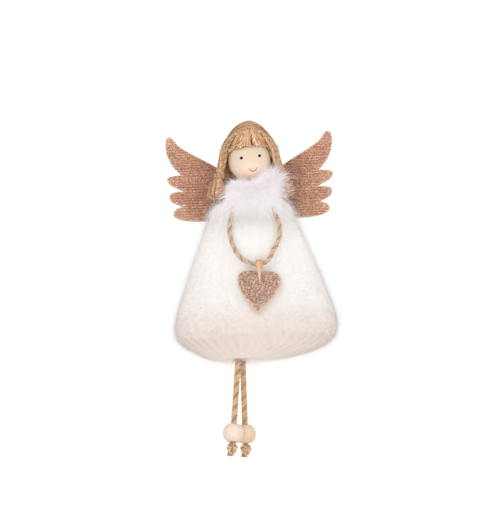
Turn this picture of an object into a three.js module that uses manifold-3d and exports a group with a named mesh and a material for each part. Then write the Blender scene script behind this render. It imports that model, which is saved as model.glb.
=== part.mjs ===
// Hanging angel doll: a wooden bead head with yarn hair, a plush bell dress, felt wings,
// a twine loop with a heart on it, and two twine legs that end in wooden beads.
// Millimetres, +Z up, the face looks along -Y. The origin is the top of the knot in the
// neck cord, where the doll hangs.
import * as THREE from 'three';
import { mergeVertices } from 'three/addons/utils/BufferGeometryUtils.js';
import Module from 'manifold-3d';

const wasm = await Module();
wasm.setup();

// Driving dimensions
const CLEARANCE = 0.3;
const CORD_DIAMETER = 3;
const CORD_SIDES = 8;

const HEAD_DIAMETER = 25;
const HEAD_BORE = 4;
const NECK_KNOT_DIAMETER = 6;

const HAIR_CROWN_THICKNESS = 10.9;
const HAIR_SIDE_THICKNESS = 5.8;
const HAIR_DEPTH_RATIO = 0.85;
const HAIR_DROP = 7;
const HAIR_DROP_TAPER = 0.7;
const HAIR_PARTING_Y = 4;
const BROW_HEIGHT = 3;
const FRINGE_THICKNESS = 2;
const FRINGE_DEPTH = 5;
const ARCH_RISE = 3;
const ARCH_SIDE = 0.9;

const PIGTAIL_LENGTH = 15;
const PIGTAIL_DIAMETER = 9.6;
const PIGTAIL_NECK_DIAMETER = 4;
const PIGTAIL_LEAN = THREE.MathUtils.degToRad(10);
const PIGTAIL_TIE_HEIGHT = 2.4;
const PIGTAIL_TIE_THICKNESS = 1;

const COLLAR_WIDTH = 29;
const COLLAR_DEPTH_RATIO = 0.83;
const COLLAR_HEIGHT = 15.5;
const COLLAR_BORE = 8.2;
const COLLAR_OVERLAP = 1.4;

const DRESS_THICKNESS = 2;
const DRESS_SEGMENTS = 36;
const STUFFING_SWELL = 1.9;
const STUFFING_BASE_SHARE = 0.45;
const HIP_KNOT_DIAMETER = 9;

const WING_FACE_THICKNESS = 0.8;
const WING_BACKING_THICKNESS = 1.2;
const LAYER_GAP = 0.1;

const HEART_WIDTH = 25;
const HEART_LENGTH = 24;
const HEART_LOBE_RISE = 2;
const HEART_BACKING_THICKNESS = 2.2;
const HEART_FACE_THICKNESS = 0.7;
const HEART_FACE_INSET = 0.5;
const HEART_TILT = THREE.MathUtils.degToRad(10.2);
const HEART_ROLL = THREE.MathUtils.degToRad(-5.5);
const HEART_REST_GAP = 0.29;
const TIE_WIDTH = 2.4;
const TIE_THICKNESS = 0.9;
const TIE_TAB_WIDTH = 2;
const TIE_TAB_LENGTH = 8.4;

const FOOT_BEAD_DIAMETER = 12;
const FOOT_BEAD_LENGTH = 10.4;
const FOOT_BEAD_BORE = 4;
const FOOT_KNOT_DIAMETER = 6.8;
const FOOT_TAIL_LENGTH = 1.2;
const FOOT_TAIL_DIAMETER = 3.6;

// Dress outline, from the neck to the opening underneath: height, half width, half depth,
// and the shift of the middle along X and Y
const SHOULDER_ROWS = [
  [-22.6, 6.5, 5],
  [-23.2, 13, 7.4],
  [-25, 19.5, 9.2],
  [-28.5, 23.6, 10.9],
  [-37.5, 26.5, 13],
];
const SKIRT_ROWS = [
  [-47, 30.6, 14.8],
  [-56.5, 34.4, 16.5],
  [-66, 37.9, 18.2],
  [-75.5, 41.2, 19.75],
  [-85, 44.5, 21.4],
  [-94, 46.9, 23.05],
  [-99, 47.5, 24],
  [-105.8, 44.6, 22.6],
  [-111.8, 36.4, 18.4],
];
const UNDERSIDE_ROWS = [
  [-116.2, 25.2, 12.8, -3.5, -0.9],
  [-118.2, 14.6, 8.6, -7.2, -2.6],
  [-118.5, 5.2, 5.2, -9.95, -4],
];

// Wing outline of one side: width from the middle, height
const WING_TOP_EDGE = [
  [0, -13],
  [8, -11],
  [14, -6],
  [19.7, -0.5],
  [32.5, 7.3],
  [41, 12.6],
];
const WING_FEATHERS = [
  { toTip: [46.4, 22], tip: [48.1, 16.4], outer: [49.6, 9.5], inner: [46, 1], notch: [39.4, -4.7] },
  { toTip: [47.6, -4.3], tip: [48, -6.6], outer: [48.4, -9.6], inner: [43.8, -11.4], notch: [38, -14.3] },
  { toTip: [46.4, -13.9], tip: [47.1, -16.6], outer: [47.5, -20.1], inner: [43, -21.9], notch: [39, -23.2] },
  { toTip: [44.6, -24], tip: [45.2, -27], outer: [45.6, -30.6], inner: [37, -32.2], notch: [30.3, -32.2] },
];
const WING_BOTTOM = -33;

// Cord routes, as they hang
const HEART_CORD_ROUTE = [
  [-9.5, -11.3, -26],
  [-10.6, -12.6, -30.4],
  [-12.3, -13.9, -39.1],
  [-13, -15.2, -45.9],
  [-11.6, -17, -53.5],
  [-7.8, -19.3, -61],
  [-2.2, -20.9, -65.2],
  [3, -21.3, -65.8],
  [8, -20.6, -64.2],
  [12, -17.7, -56.6],
  [14.9, -15.8, -50.6],
  [15.6, -14.3, -44.4],
  [14.5, -13.3, -38.4],
  [12.7, -12.6, -33.4],
  [11.5, -11.3, -26],
];
const HEART_CORD_STEPS = 28;
const LEGS = {
  left: { hip: [-11.3, -6.2, -119.5], knee: [-11.83, -6.27, -124.47], bead: [-15.6, -6.8, -159.94] },
  right: { hip: [-8.6, -1.8, -119.5], knee: [-8.64, -1.1, -124.45], bead: [-8.9, 3.8, -159.04] },
};
const LEG_STEPS = 6;

// Values that follow from the driving dimensions
const headRadius = HEAD_DIAMETER / 2;
const cordRadius = CORD_DIAMETER / 2;
const neckKnotRadius = NECK_KNOT_DIAMETER / 2;
const boreEdgeHeight = Math.sqrt(headRadius ** 2 - (HEAD_BORE / 2) ** 2);
const knotSeat = Math.sqrt((neckKnotRadius + CLEARANCE) ** 2 - (HEAD_BORE / 2) ** 2);
const neckKnotHeight = boreEdgeHeight + knotSeat;
const hangingHeight = neckKnotHeight + neckKnotRadius;
const hairSeat = headRadius + CLEARANCE;
const hairHalfWidth = headRadius + HAIR_SIDE_THICKNESS;
const hairHeight = headRadius + HAIR_CROWN_THICKNESS;
const browArchWidth = headRadius + ARCH_SIDE;
const browArchHeight = headRadius + ARCH_RISE;
const stuffingInset = DRESS_THICKNESS + CLEARANCE;
const dressRows = [...SHOULDER_ROWS, ...SKIRT_ROWS, ...UNDERSIDE_ROWS];
const stuffingLastRow = SHOULDER_ROWS.length + SKIRT_ROWS.length - 1;
const openingRow = dressRows.length - 1;
const farAway = 10 * HEAD_DIAMETER;

const colours = {
  wood: { color: 0xefdfc6, roughness: 0.45 },
  flax: { color: 0xcda578, roughness: 0.9 },
  fur: { color: 0xece8f0, roughness: 1 },
  plush: { color: 0xf3efec, roughness: 1 },
  stuffing: { color: 0xf4f1ea, roughness: 1 },
  glitter: { color: 0xb27a5f, roughness: 0.5, metalness: 0.35 },
  felt: { color: 0xd9bfa8, roughness: 1 },
  twine: { color: 0xc09560, roughness: 0.95 },
  thread: { color: 0xd9a987, roughness: 0.9 },
};

// Closed meshes to solids and back, for cutting and joining
function toSolid(geometry) {
  const bare = geometry.clone();
  bare.deleteAttribute('normal');
  bare.deleteAttribute('uv');
  const merged = mergeVertices(bare, 1e-4);
  const vertProperties = new Float32Array(merged.attributes.position.array);
  const triVerts = new Uint32Array(merged.index.array);
  return new wasm.Manifold(new wasm.Mesh({ numProp: 3, vertProperties, triVerts }));
}

function toGeometry(solid) {
  const mesh = solid.getMesh();
  const geometry = new THREE.BufferGeometry();
  geometry.setAttribute('position', new THREE.BufferAttribute(new Float32Array(mesh.vertProperties), 3));
  geometry.setIndex(new THREE.BufferAttribute(new Uint32Array(mesh.triVerts), 1));
  geometry.computeVertexNormals();
  return geometry;
}

function cut(geometry, ...tools) {
  const solid = tools.reduce((rest, tool) => rest.subtract(toSolid(tool)), toSolid(geometry));
  return toGeometry(solid);
}

function join(geometry, ...others) {
  const solid = others.reduce((whole, other) => whole.add(toSolid(other)), toSolid(geometry));
  return toGeometry(solid);
}

function common(geometry, ...others) {
  const solid = others.reduce((shared, other) => shared.intersect(toSolid(other)), toSolid(geometry));
  return toGeometry(solid);
}

// Basic shapes
function vector(point) {
  return new THREE.Vector3(...point);
}

function sphere(radius, segments = 26) {
  return new THREE.SphereGeometry(radius, segments, segments / 2).rotateX(Math.PI / 2);
}

function box(low, high) {
  const size = vector(high).sub(vector(low));
  const middle = vector(low).add(vector(high)).multiplyScalar(0.5);
  return new THREE.BoxGeometry(...size.toArray()).translate(...middle.toArray());
}

// A profile of [radius, height] points turned about the vertical axis
function turned(profile, segments) {
  const points = profile.map(([radius, height]) => new THREE.Vector2(radius, height));
  return new THREE.LatheGeometry(points, segments).rotateX(Math.PI / 2);
}

function arc(radius, fromHeight, toHeight, count, centre = 0) {
  const from = Math.asin(THREE.MathUtils.clamp(fromHeight / radius, -1, 1));
  const to = Math.asin(THREE.MathUtils.clamp(toHeight / radius, -1, 1));
  return Array.from({ length: count + 1 }, (_, index) => {
    const angle = THREE.MathUtils.lerp(from, to, index / count);
    return [radius * Math.cos(angle), centre + radius * Math.sin(angle)];
  });
}

function onAxis([, height]) {
  return [0, height];
}

// Rings of points joined into one closed skin. A loop of rings makes a shell, otherwise
// both ends close on the point given for each of them.
function loft(rings, caps) {
  const count = rings[0].length;
  const positions = rings.flat().concat(caps ?? []).flatMap((point) => point.toArray());
  const index = [];
  const spans = caps ? rings.length - 1 : rings.length;
  for (let ring = 0; ring < spans; ring += 1) {
    const next = (ring + 1) % rings.length;
    for (let step = 0; step < count; step += 1) {
      const side = (step + 1) % count;
      const corners = [ring * count + step, ring * count + side, next * count + side, next * count + step];
      index.push(corners[0], corners[2], corners[1], corners[0], corners[3], corners[2]);
    }
  }
  if (caps) {
    const firstCap = rings.length * count;
    const lastRing = firstCap - count;
    for (let step = 0; step < count; step += 1) {
      const side = (step + 1) % count;
      index.push(firstCap, step, side);
      index.push(firstCap + 1, lastRing + side, lastRing + step);
    }
  }
  const geometry = new THREE.BufferGeometry();
  geometry.setAttribute('position', new THREE.Float32BufferAttribute(positions, 3));
  geometry.setIndex(index);
  geometry.computeVertexNormals();
  return geometry;
}

function tube(curve, steps) {
  const corners = Array.from({ length: CORD_SIDES }, (_, side) => {
    const angle = (side / CORD_SIDES) * 2 * Math.PI;
    return new THREE.Vector2(cordRadius * Math.cos(angle), cordRadius * Math.sin(angle));
  });
  return new THREE.ExtrudeGeometry(new THREE.Shape(corners), { extrudePath: curve, steps });
}

function extruded(shape, depth) {
  return new THREE.ExtrudeGeometry(shape, { depth, bevelEnabled: false, curveSegments: 6 });
}

const doll = new THREE.Group();
doll.position.z = -hangingHeight;

function piece(name, geometry, look, parent = doll) {
  const mesh = new THREE.Mesh(geometry, new THREE.MeshStandardMaterial(colours[look]));
  mesh.name = name;
  parent.add(mesh);
  return mesh;
}

// Dress surface: a point at a row of the outline, inset along the outline's normal
function dressPoint(row, angle, inset) {
  const [height, halfWidth, halfDepth, shiftX = 0, shiftY = 0] = dressRows[row];
  const above = dressRows[Math.max(row - 1, 0)];
  const below = dressRows[Math.min(row + 1, openingRow)];
  const along = new THREE.Vector2(below[1] - above[1], below[0] - above[0]).normalize();
  return new THREE.Vector3(
    shiftX + (halfWidth + along.y * inset) * Math.cos(angle),
    shiftY + (halfDepth + along.y * inset) * Math.sin(angle),
    height - along.x * inset,
  );
}

function dressRing(row, inset) {
  return Array.from({ length: DRESS_SEGMENTS }, (_, step) => {
    const angle = (step / DRESS_SEGMENTS) * 2 * Math.PI;
    return dressPoint(row, angle, inset);
  });
}

function rowsBetween(first, last) {
  return Array.from({ length: last - first + 1 }, (_, step) => first + step);
}

function ringCentre(ring) {
  const sum = ring.reduce((total, point) => total.add(point), new THREE.Vector3());
  return sum.divideScalar(ring.length);
}

// The dress as a filled form, for what sits inside it or is cut by it. Its base lies above
// the underside and is flat in the middle.
const stuffingBase = ringCentre(dressRing(stuffingLastRow, stuffingInset)).z - STUFFING_SWELL;

function filledDress(inset) {
  const rings = rowsBetween(0, stuffingLastRow).map((row) => dressRing(row, inset));
  const share = STUFFING_BASE_SHARE;
  const base = rings.at(-1).map((point) => new THREE.Vector3(share * point.x, share * point.y, stuffingBase));
  return loft([...rings, base], [ringCentre(rings[0]), ringCentre(base)]);
}

function dressHalfDepthAt(height) {
  const last = dressRows.findIndex((row) => row[0] <= height);
  const upper = dressRows[last - 1];
  const lower = dressRows[last];
  return THREE.MathUtils.mapLinear(height, upper[0], lower[0], upper[2], lower[2]);
}

// Head: a bored wooden bead on the knotted neck cord
function headBead() {
  const skin = arc(headRadius, -boreEdgeHeight, boreEdgeHeight, 12);
  return turned([...skin, skin[0]], 26);
}

function neckCord() {
  const stuffingTop = dressPoint(0, 0, stuffingInset).z;
  const waistOfKnot = Math.sqrt(neckKnotRadius ** 2 - cordRadius ** 2);
  const knot = (centre, low, high) => arc(neckKnotRadius, low, high, 8, centre);
  const lowerKnot = knot(-neckKnotHeight, -waistOfKnot, waistOfKnot);
  const upperKnot = knot(neckKnotHeight, -waistOfKnot, neckKnotRadius);
  const foot = [cordRadius, stuffingTop + CLEARANCE];
  return turned([onAxis(foot), foot, ...lowerKnot, ...upperKnot.slice(0, -1), [0, hangingHeight]], 14);
}

// Hair: a yarn dome over the bead, parted into a crown band, the back and a fringe
function hairDome() {
  const steps = 9;
  const crown = Array.from({ length: steps + 1 }, (_, step) => {
    const rise = 1 - (step / steps) ** 1.6;
    return [hairHalfWidth * (1 - rise ** 1.5) ** 0.571, hairHeight * rise];
  });
  const ends = [hairHalfWidth - HAIR_DROP_TAPER, -HAIR_DROP];
  return turned([onAxis(ends), ends, ...crown.reverse()], 26).scale(1, HAIR_DEPTH_RATIO, 1);
}

function browArch(grow, front, back) {
  const halfWidth = browArchWidth + grow;
  const outline = new THREE.Shape();
  outline.moveTo(-halfWidth, -farAway);
  outline.lineTo(halfWidth, -farAway);
  outline.lineTo(halfWidth, 0);
  outline.absellipse(0, 0, halfWidth, browArchHeight + grow, 0, Math.PI, false, 0);
  const settings = { depth: back - front, bevelEnabled: false, curveSegments: 14 };
  const prism = new THREE.ExtrudeGeometry(outline, settings);
  return prism.rotateX(Math.PI / 2).translate(0, back, 0);
}

function hairCrown() {
  const front = box([-farAway, -farAway, -farAway], [farAway, HAIR_PARTING_Y - CLEARANCE / 2, farAway]);
  const knotPocket = new THREE.CylinderGeometry(
    neckKnotRadius + CLEARANCE,
    neckKnotRadius + CLEARANCE,
    hangingHeight + CLEARANCE,
    14,
  );
  knotPocket.rotateX(Math.PI / 2).translate(0, 0, (hangingHeight + CLEARANCE) / 2);
  const band = common(hairDome(), front);
  return cut(band, sphere(hairSeat), browArch(0, -farAway, -FRINGE_DEPTH), knotPocket);
}

function hairBack() {
  const back = box([-farAway, HAIR_PARTING_Y + CLEARANCE / 2, -farAway], [farAway, farAway, farAway]);
  return cut(common(hairDome(), back), sphere(hairSeat));
}

function hairFringe() {
  const shell = cut(sphere(hairSeat + FRINGE_THICKNESS), sphere(hairSeat));
  const aboveBrow = box([-farAway, -farAway, BROW_HEIGHT], [farAway, farAway, farAway]);
  return common(shell, browArch(-CLEARANCE, -farAway, -FRINGE_DEPTH - CLEARANCE), aboveBrow);
}

// A pigtail hangs from its own top, below the crown's end at the ear
function pigtail() {
  const neck = PIGTAIL_NECK_DIAMETER / 2;
  const swell = PIGTAIL_DIAMETER / 2;
  const neckLength = PIGTAIL_TIE_HEIGHT + 2 * CLEARANCE;
  const belly = -neckLength - 0.45 * (PIGTAIL_LENGTH - neckLength);
  const bottom = -PIGTAIL_LENGTH;
  const profile = [
    [0, bottom],
    [0.8 * swell, bottom],
    [swell, bottom + 0.1 * PIGTAIL_LENGTH],
    [0.86 * swell, belly],
    [neck, -neckLength],
    [neck, 0],
    [0, 0],
  ];
  return turned(profile, 16);
}

function pigtailTie() {
  const inner = PIGTAIL_NECK_DIAMETER / 2 + CLEARANCE;
  const outer = inner + PIGTAIL_TIE_THICKNESS;
  const top = -CLEARANCE;
  const bottom = top - PIGTAIL_TIE_HEIGHT;
  return turned([[inner, bottom], [outer, bottom], [outer, top], [inner, top], [inner, bottom]], 16);
}

// Collar: a soft ring of fur that the chin sinks into and that lies on the shoulders
function furCollar() {
  const inner = COLLAR_BORE / 2;
  const halfThickness = (COLLAR_WIDTH / 2 - inner) / 2;
  const centre = -headRadius + COLLAR_OVERLAP - COLLAR_HEIGHT / 2;
  const section = Array.from({ length: 13 }, (_, step) => {
    const angle = (step / 12) * 2 * Math.PI;
    return [inner + halfThickness * (1 + Math.cos(angle)), centre + (COLLAR_HEIGHT / 2) * Math.sin(angle)];
  });
  const ring = turned(section, 24).scale(1, COLLAR_DEPTH_RATIO, 1);
  return cut(ring, sphere(headRadius + 2 * CLEARANCE), filledDress(-CLEARANCE));
}

function dress() {
  const rows = rowsBetween(0, openingRow);
  const outside = rows.map((row) => dressRing(row, 0));
  const inside = rows.reverse().map((row) => dressRing(row, DRESS_THICKNESS));
  return loft([...outside, ...inside]);
}

// Hip knot: fills the height between the stuffing's base and the tops of the legs
function hipKnot(bottom, top) {
  const knot = sphere(1, 16).scale(HIP_KNOT_DIAMETER / 2, HIP_KNOT_DIAMETER / 2, (top - bottom) / 2);
  return knot.translate(0, 0, (top + bottom) / 2);
}

// Wings: one flat outline with four feathers a side, cut in a glitter face and a felt backing
function wingOutline() {
  const side = new THREE.Path();
  side.moveTo(...WING_TOP_EDGE[0]);
  side.splineThru(WING_TOP_EDGE.slice(1).map((point) => new THREE.Vector2(...point)));
  for (const feather of WING_FEATHERS) {
    side.quadraticCurveTo(...feather.toTip, ...feather.tip);
    side.bezierCurveTo(...feather.outer, ...feather.inner, ...feather.notch);
  }
  side.lineTo(0, WING_BOTTOM);
  const right = side.getPoints(6);
  const left = right.slice(1, -1).reverse().map((point) => new THREE.Vector2(-point.x, point.y));
  return new THREE.Shape([...right, ...left].reverse());
}

function wingLayer(front, thickness) {
  return extruded(wingOutline(), thickness).rotateX(Math.PI / 2).translate(0, front + thickness, 0);
}

// Heart: a glitter face on a paler backing, its notch at the origin
function heartShape(inset) {
  const halfWidth = HEART_WIDTH / 2 - inset;
  const tip = -HEART_LENGTH + 1.6 * inset;
  const rise = HEART_LOBE_RISE - inset;
  const shoulder = -0.06 * HEART_LENGTH;
  const notch = -inset;
  const outline = new THREE.Shape();
  outline.moveTo(0, notch);
  outline.bezierCurveTo(0.16 * halfWidth, 1.5 * rise, 0.8 * halfWidth, 1.6 * rise, 0.95 * halfWidth, shoulder);
  outline.bezierCurveTo(1.14 * halfWidth, 0.24 * tip, 0.72 * halfWidth, 0.6 * tip, 0, tip);
  outline.bezierCurveTo(-0.72 * halfWidth, 0.6 * tip, -1.14 * halfWidth, 0.24 * tip, -0.95 * halfWidth, shoulder);
  outline.bezierCurveTo(-0.8 * halfWidth, 1.6 * rise, -0.16 * halfWidth, 1.5 * rise, 0, notch);
  return outline;
}

// Tie: a turn of thread round the loop with its end hanging over the heart's notch
function heartTie() {
  const inner = cordRadius + CLEARANCE;
  const outer = inner + TIE_THICKNESS;
  const half = TIE_WIDTH / 2;
  const turn = turned([[inner, -half], [outer, -half], [outer, half], [inner, half], [inner, -half]], 16);
  turn.rotateY(Math.PI / 2);
  const tabFront = -outer - TIE_THICKNESS / 2;
  const tabBack = tabFront + TIE_THICKNESS;
  const tab = box([-TIE_TAB_WIDTH / 2, tabFront, -TIE_TAB_LENGTH], [TIE_TAB_WIDTH / 2, tabBack, outer / 2]);
  return join(turn, tab);
}

// Legs: straight lengths of twine that bend where they leave the dress and just below it
function legCord(from, to) {
  const line = new THREE.LineCurve3(from, to);
  const ball = sphere(cordRadius, 8).translate(...from.toArray());
  return join(tube(line, LEG_STEPS), ball);
}

function footBead() {
  const half = FOOT_BEAD_LENGTH / 2;
  const skin = arc(FOOT_BEAD_DIAMETER / 2, -half, half, 8);
  const inner = FOOT_BEAD_BORE / 2;
  return turned([[inner, -half], ...skin, [inner, half], [inner, -half]], 20);
}

function footKnot() {
  const radius = FOOT_KNOT_DIAMETER / 2;
  const tail = FOOT_TAIL_DIAMETER / 2;
  const ball = arc(radius, -Math.sqrt(radius ** 2 - tail ** 2), 0.999 * radius, 8);
  const tailEnd = [1.15 * tail, -radius - FOOT_TAIL_LENGTH];
  return turned([onAxis(tailEnd), tailEnd, ...ball.slice(0, -1), [0, radius]], 14);
}

// Head and hair
piece('neck_cord', neckCord(), 'twine');
piece('head_bead', headBead(), 'wood');
piece('hair_crown', hairCrown(), 'flax');
piece('hair_back', hairBack(), 'flax');
piece('hair_fringe', hairFringe(), 'flax');
for (const [side, sign] of [['left', -1], ['right', 1]]) {
  const tail = new THREE.Group();
  tail.position.set(sign * (hairHalfWidth - HAIR_DROP_TAPER), 0, -HAIR_DROP - CLEARANCE);
  tail.rotation.y = -sign * PIGTAIL_LEAN;
  doll.add(tail);
  piece(`pigtail_${side}`, pigtail(), 'flax', tail);
  piece(`pigtail_tie_${side}`, pigtailTie(), 'twine', tail);
}

// Dress, its filling and its collar
piece('fur_collar', furCollar(), 'fur');
piece('dress', dress(), 'plush');
piece('dress_stuffing', filledDress(stuffingInset), 'stuffing');
const hip = vector(LEGS.left.hip).add(vector(LEGS.right.hip)).multiplyScalar(0.5);
const hipKnotBottom = hip.z + cordRadius + CLEARANCE;
const hipKnotMesh = piece('hip_knot', hipKnot(hipKnotBottom, stuffingBase - CLEARANCE), 'twine');
hipKnotMesh.position.set(hip.x, hip.y, 0);

// Wings, flat against the back of the dress and the collar
const collarBack = (COLLAR_WIDTH / 2) * COLLAR_DEPTH_RATIO;
const wingFront = Math.max(dressHalfDepthAt(WING_BOTTOM), collarBack) + CLEARANCE;
const wingSeam = wingFront + WING_FACE_THICKNESS + LAYER_GAP;
piece('wings_face', wingLayer(wingFront, WING_FACE_THICKNESS), 'glitter');
piece('wings_backing', wingLayer(wingSeam, WING_BACKING_THICKNESS), 'felt');

// Twine loop with its heart
const loop = new THREE.CatmullRomCurve3(HEART_CORD_ROUTE.map(vector));
const lowPoint = vector(HEART_CORD_ROUTE.reduce((low, point) => (point[2] < low[2] ? point : low)));
piece('heart_cord', tube(loop, HEART_CORD_STEPS), 'twine');
piece('heart_tie', heartTie(), 'thread').position.copy(lowPoint);
const heart = new THREE.Group();
const notchHeight = lowPoint.z - TIE_TAB_LENGTH + HEART_LOBE_RISE;
heart.position.set(lowPoint.x, -dressHalfDepthAt(notchHeight) - HEART_REST_GAP, notchHeight);
heart.rotation.set(Math.PI / 2 - HEART_TILT, 0, HEART_ROLL);
doll.add(heart);
piece('heart_backing', extruded(heartShape(0), HEART_BACKING_THICKNESS), 'felt', heart);
const heartFaceBody = extruded(heartShape(HEART_FACE_INSET), HEART_FACE_THICKNESS);
const heartFace = piece('heart_face', heartFaceBody, 'glitter', heart);
heartFace.position.z = HEART_BACKING_THICKNESS + LAYER_GAP;

// Legs with their beads and knots
for (const [side, leg] of Object.entries(LEGS)) {
  const hipPoint = vector(leg.hip);
  const knee = vector(leg.knee);
  const bead = vector(leg.bead);
  const upper = knee.clone().sub(hipPoint).normalize();
  const lower = bead.clone().sub(knee).normalize();
  const upperEnd = knee.clone().addScaledVector(upper, -cordRadius - CLEARANCE);
  const knotDrop = FOOT_BEAD_LENGTH / 2 + CLEARANCE + FOOT_KNOT_DIAMETER / 2;
  const knotCentre = bead.clone().addScaledVector(lower, knotDrop);
  const lowerEnd = knotCentre.clone().addScaledVector(lower, -FOOT_KNOT_DIAMETER / 2 - CLEARANCE);
  const alongCord = new THREE.Quaternion().setFromUnitVectors(new THREE.Vector3(0, 0, -1), lower);
  piece(`leg_cord_upper_${side}`, legCord(hipPoint, upperEnd), 'twine');
  piece(`leg_cord_lower_${side}`, legCord(knee, lowerEnd), 'twine');
  const footBeadMesh = piece(`foot_bead_${side}`, footBead(), 'wood');
  footBeadMesh.position.copy(bead);
  footBeadMesh.quaternion.copy(alongCord);
  const footKnotMesh = piece(`foot_knot_${side}`, footKnot(), 'twine');
  footKnotMesh.position.copy(knotCentre);
  footKnotMesh.quaternion.copy(alongCord);
}

export default doll;
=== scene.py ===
import math

import bpy
import numpy as np
from mathutils import Matrix, Vector
from mathutils.geometry import delaunay_2d_cdt


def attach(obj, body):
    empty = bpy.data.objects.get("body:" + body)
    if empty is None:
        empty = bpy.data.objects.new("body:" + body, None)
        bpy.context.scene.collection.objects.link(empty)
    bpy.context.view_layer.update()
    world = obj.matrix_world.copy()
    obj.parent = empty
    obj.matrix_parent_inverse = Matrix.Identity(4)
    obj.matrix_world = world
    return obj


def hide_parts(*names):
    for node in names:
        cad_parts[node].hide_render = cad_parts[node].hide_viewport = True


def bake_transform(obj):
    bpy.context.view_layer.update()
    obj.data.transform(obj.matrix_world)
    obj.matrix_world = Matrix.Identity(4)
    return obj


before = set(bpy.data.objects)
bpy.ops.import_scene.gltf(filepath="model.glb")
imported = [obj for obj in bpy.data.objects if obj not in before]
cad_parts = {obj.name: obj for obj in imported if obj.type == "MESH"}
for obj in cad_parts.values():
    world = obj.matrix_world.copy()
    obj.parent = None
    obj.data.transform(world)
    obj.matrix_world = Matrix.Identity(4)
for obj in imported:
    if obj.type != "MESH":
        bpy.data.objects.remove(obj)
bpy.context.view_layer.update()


# The doll hangs in front of white paper and is seen from a little below through a long lens.
# Broad soft lamps stand in front of it, the strongest two to the left and low down, and the
# pale floor lies well under its feet.
HEAD_DROP = 17.964
MM = 0.001


def at(points):
    """Points in millimetres from the middle of the head, as metres from the hanging knot."""
    return (np.asarray(points, float) - (0, 0, HEAD_DROP)) * MM


class Wire:
    """A socket in a node tree that takes part in sums as a number does."""

    def __init__(self, tree, socket=None):
        self.tree = tree
        self.socket = socket

    def make(self, kind, settings=None, sockets=None, output=0):
        node = self.tree.nodes.new(kind)
        for name, value in (settings or {}).items():
            setattr(node, name, value)
        for key, value in (sockets or {}).items():
            if isinstance(value, Wire):
                self.tree.links.new(value.socket, node.inputs[key])
            else:
                node.inputs[key].default_value = value
        return Wire(self.tree, node.outputs[output] if node.outputs else None)

    def also(self, output):
        return Wire(self.tree, self.socket.node.outputs[output])

    def sum(self, operation, *terms):
        return self.make("ShaderNodeMath", {"operation": operation}, dict(enumerate(terms)))

    def __add__(self, other):
        return self.sum("ADD", self, other)

    def __sub__(self, other):
        return self.sum("SUBTRACT", self, other)

    def __rsub__(self, other):
        return self.sum("SUBTRACT", other, self)

    def __mul__(self, other):
        return self.sum("MULTIPLY", self, other)

    def __truediv__(self, other):
        return self.sum("DIVIDE", self, other)

    __radd__ = __add__
    __rmul__ = __mul__

    def vector(self, operation, *terms):
        return self.make("ShaderNodeVectorMath", {"operation": operation}, dict(enumerate(terms)))

    def scaled(self, amount):
        return self.make("ShaderNodeVectorMath", {"operation": "SCALE"}, {0: self, "Scale": amount})

    def axis(self, name):
        return self.make("ShaderNodeSeparateXYZ", sockets={0: self}, output=name)

    def place(self):
        return self.make("ShaderNodeTexCoord", output="Object")

    def kept(self, name, output="Fac"):
        """The value that the mesh keeps under a name."""
        return self.make("ShaderNodeAttribute", {"attribute_name": name}, output=output)

    def noise(self, place, scale, detail, **more):
        sockets = {"Vector": place, "Scale": scale, "Detail": detail}
        sockets.update((key.title(), value) for key, value in more.items())
        return self.make("ShaderNodeTexNoise", sockets=sockets)

    def step(self, low, high):
        """0 below low and 1 above high, with a soft change between them."""
        sockets = {"Value": self, 1: low, 2: high}
        return self.make("ShaderNodeMapRange", {"interpolation_type": "SMOOTHSTEP"}, sockets)

    def between(self, first, second):
        """A colour that goes from the first to the second as this value goes from 0 to 1."""
        return self.make("ShaderNodeMix", {"data_type": "RGBA"}, {0: self, 6: first, 7: second}, 2)

    def ramp(self, *stops):
        """A colour that passes through the stops as this value rises."""
        colour = self.make("ShaderNodeValToRGB", sockets={"Fac": self})
        elements = colour.socket.node.color_ramp.elements
        while len(elements) < len(stops):
            elements.new(0.5)
        for element, (place, tint) in zip(elements, stops):
            element.position = place
            element.color = tint
        return colour

    def bump(self, strength, distance):
        sockets = {"Strength": strength, "Distance": distance, "Height": self}
        return self.make("ShaderNodeBump", sockets=sockets)

    def chance(self, seed, owner=None):
        """A number from 0 to 1, drawn for each point or for each owner."""
        sockets = {"Seed": seed} if owner is None else {"ID": owner, "Seed": seed}
        return self.make("FunctionNodeRandomValue", {"data_type": "FLOAT"}, sockets, 1)

    def store(self, name, value, kind="FLOAT", domain="POINT"):
        """This geometry with a value kept on it under a name."""
        sockets = {"Geometry": self, "Name": name, "Value": value}
        return self.make("GeometryNodeStoreNamedAttribute", {"data_type": kind, "domain": domain}, sockets)


def shade(red, green, blue):
    """A colour as it looks, 0 to 255, as the light it gives back."""
    parts = [value / 255 for value in (red, green, blue)]
    return tuple(v / 12.92 if v < 0.04045 else ((v + 0.055) / 1.055) ** 2.4 for v in parts) + (1,)


def finish(name, **sockets):
    """A new material with its even values set. Gives it back with its tree and its shader."""
    material = bpy.data.materials.new(name)
    material.use_nodes = True
    shader = material.node_tree.nodes["Principled BSDF"]
    for key, value in sockets.items():
        shader.inputs[key.replace("_", " ").title().replace("Ior", "IOR")].default_value = value
    return material, Wire(material.node_tree), shader


def lay_on(shader, **wires):
    for key, wire in wires.items():
        wire.tree.links.new(wire.socket, shader.inputs[key.replace("_", " ").title()])


def put(name, data):
    piece = bpy.data.objects.new(name, data)
    scene.collection.objects.link(piece)
    return piece


def skin(name, points, faces, material=None):
    """A mesh, smooth where it has a material. Without one it is the ground for fibres."""
    mesh = bpy.data.meshes.new(name)
    mesh.from_pydata(np.asarray(points, float).tolist(), [], faces)
    if material:
        mesh.materials.append(material)
        mesh.shade_smooth()
    return mesh


scene = bpy.context.scene
scene.view_settings.view_transform = "Standard"

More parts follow.
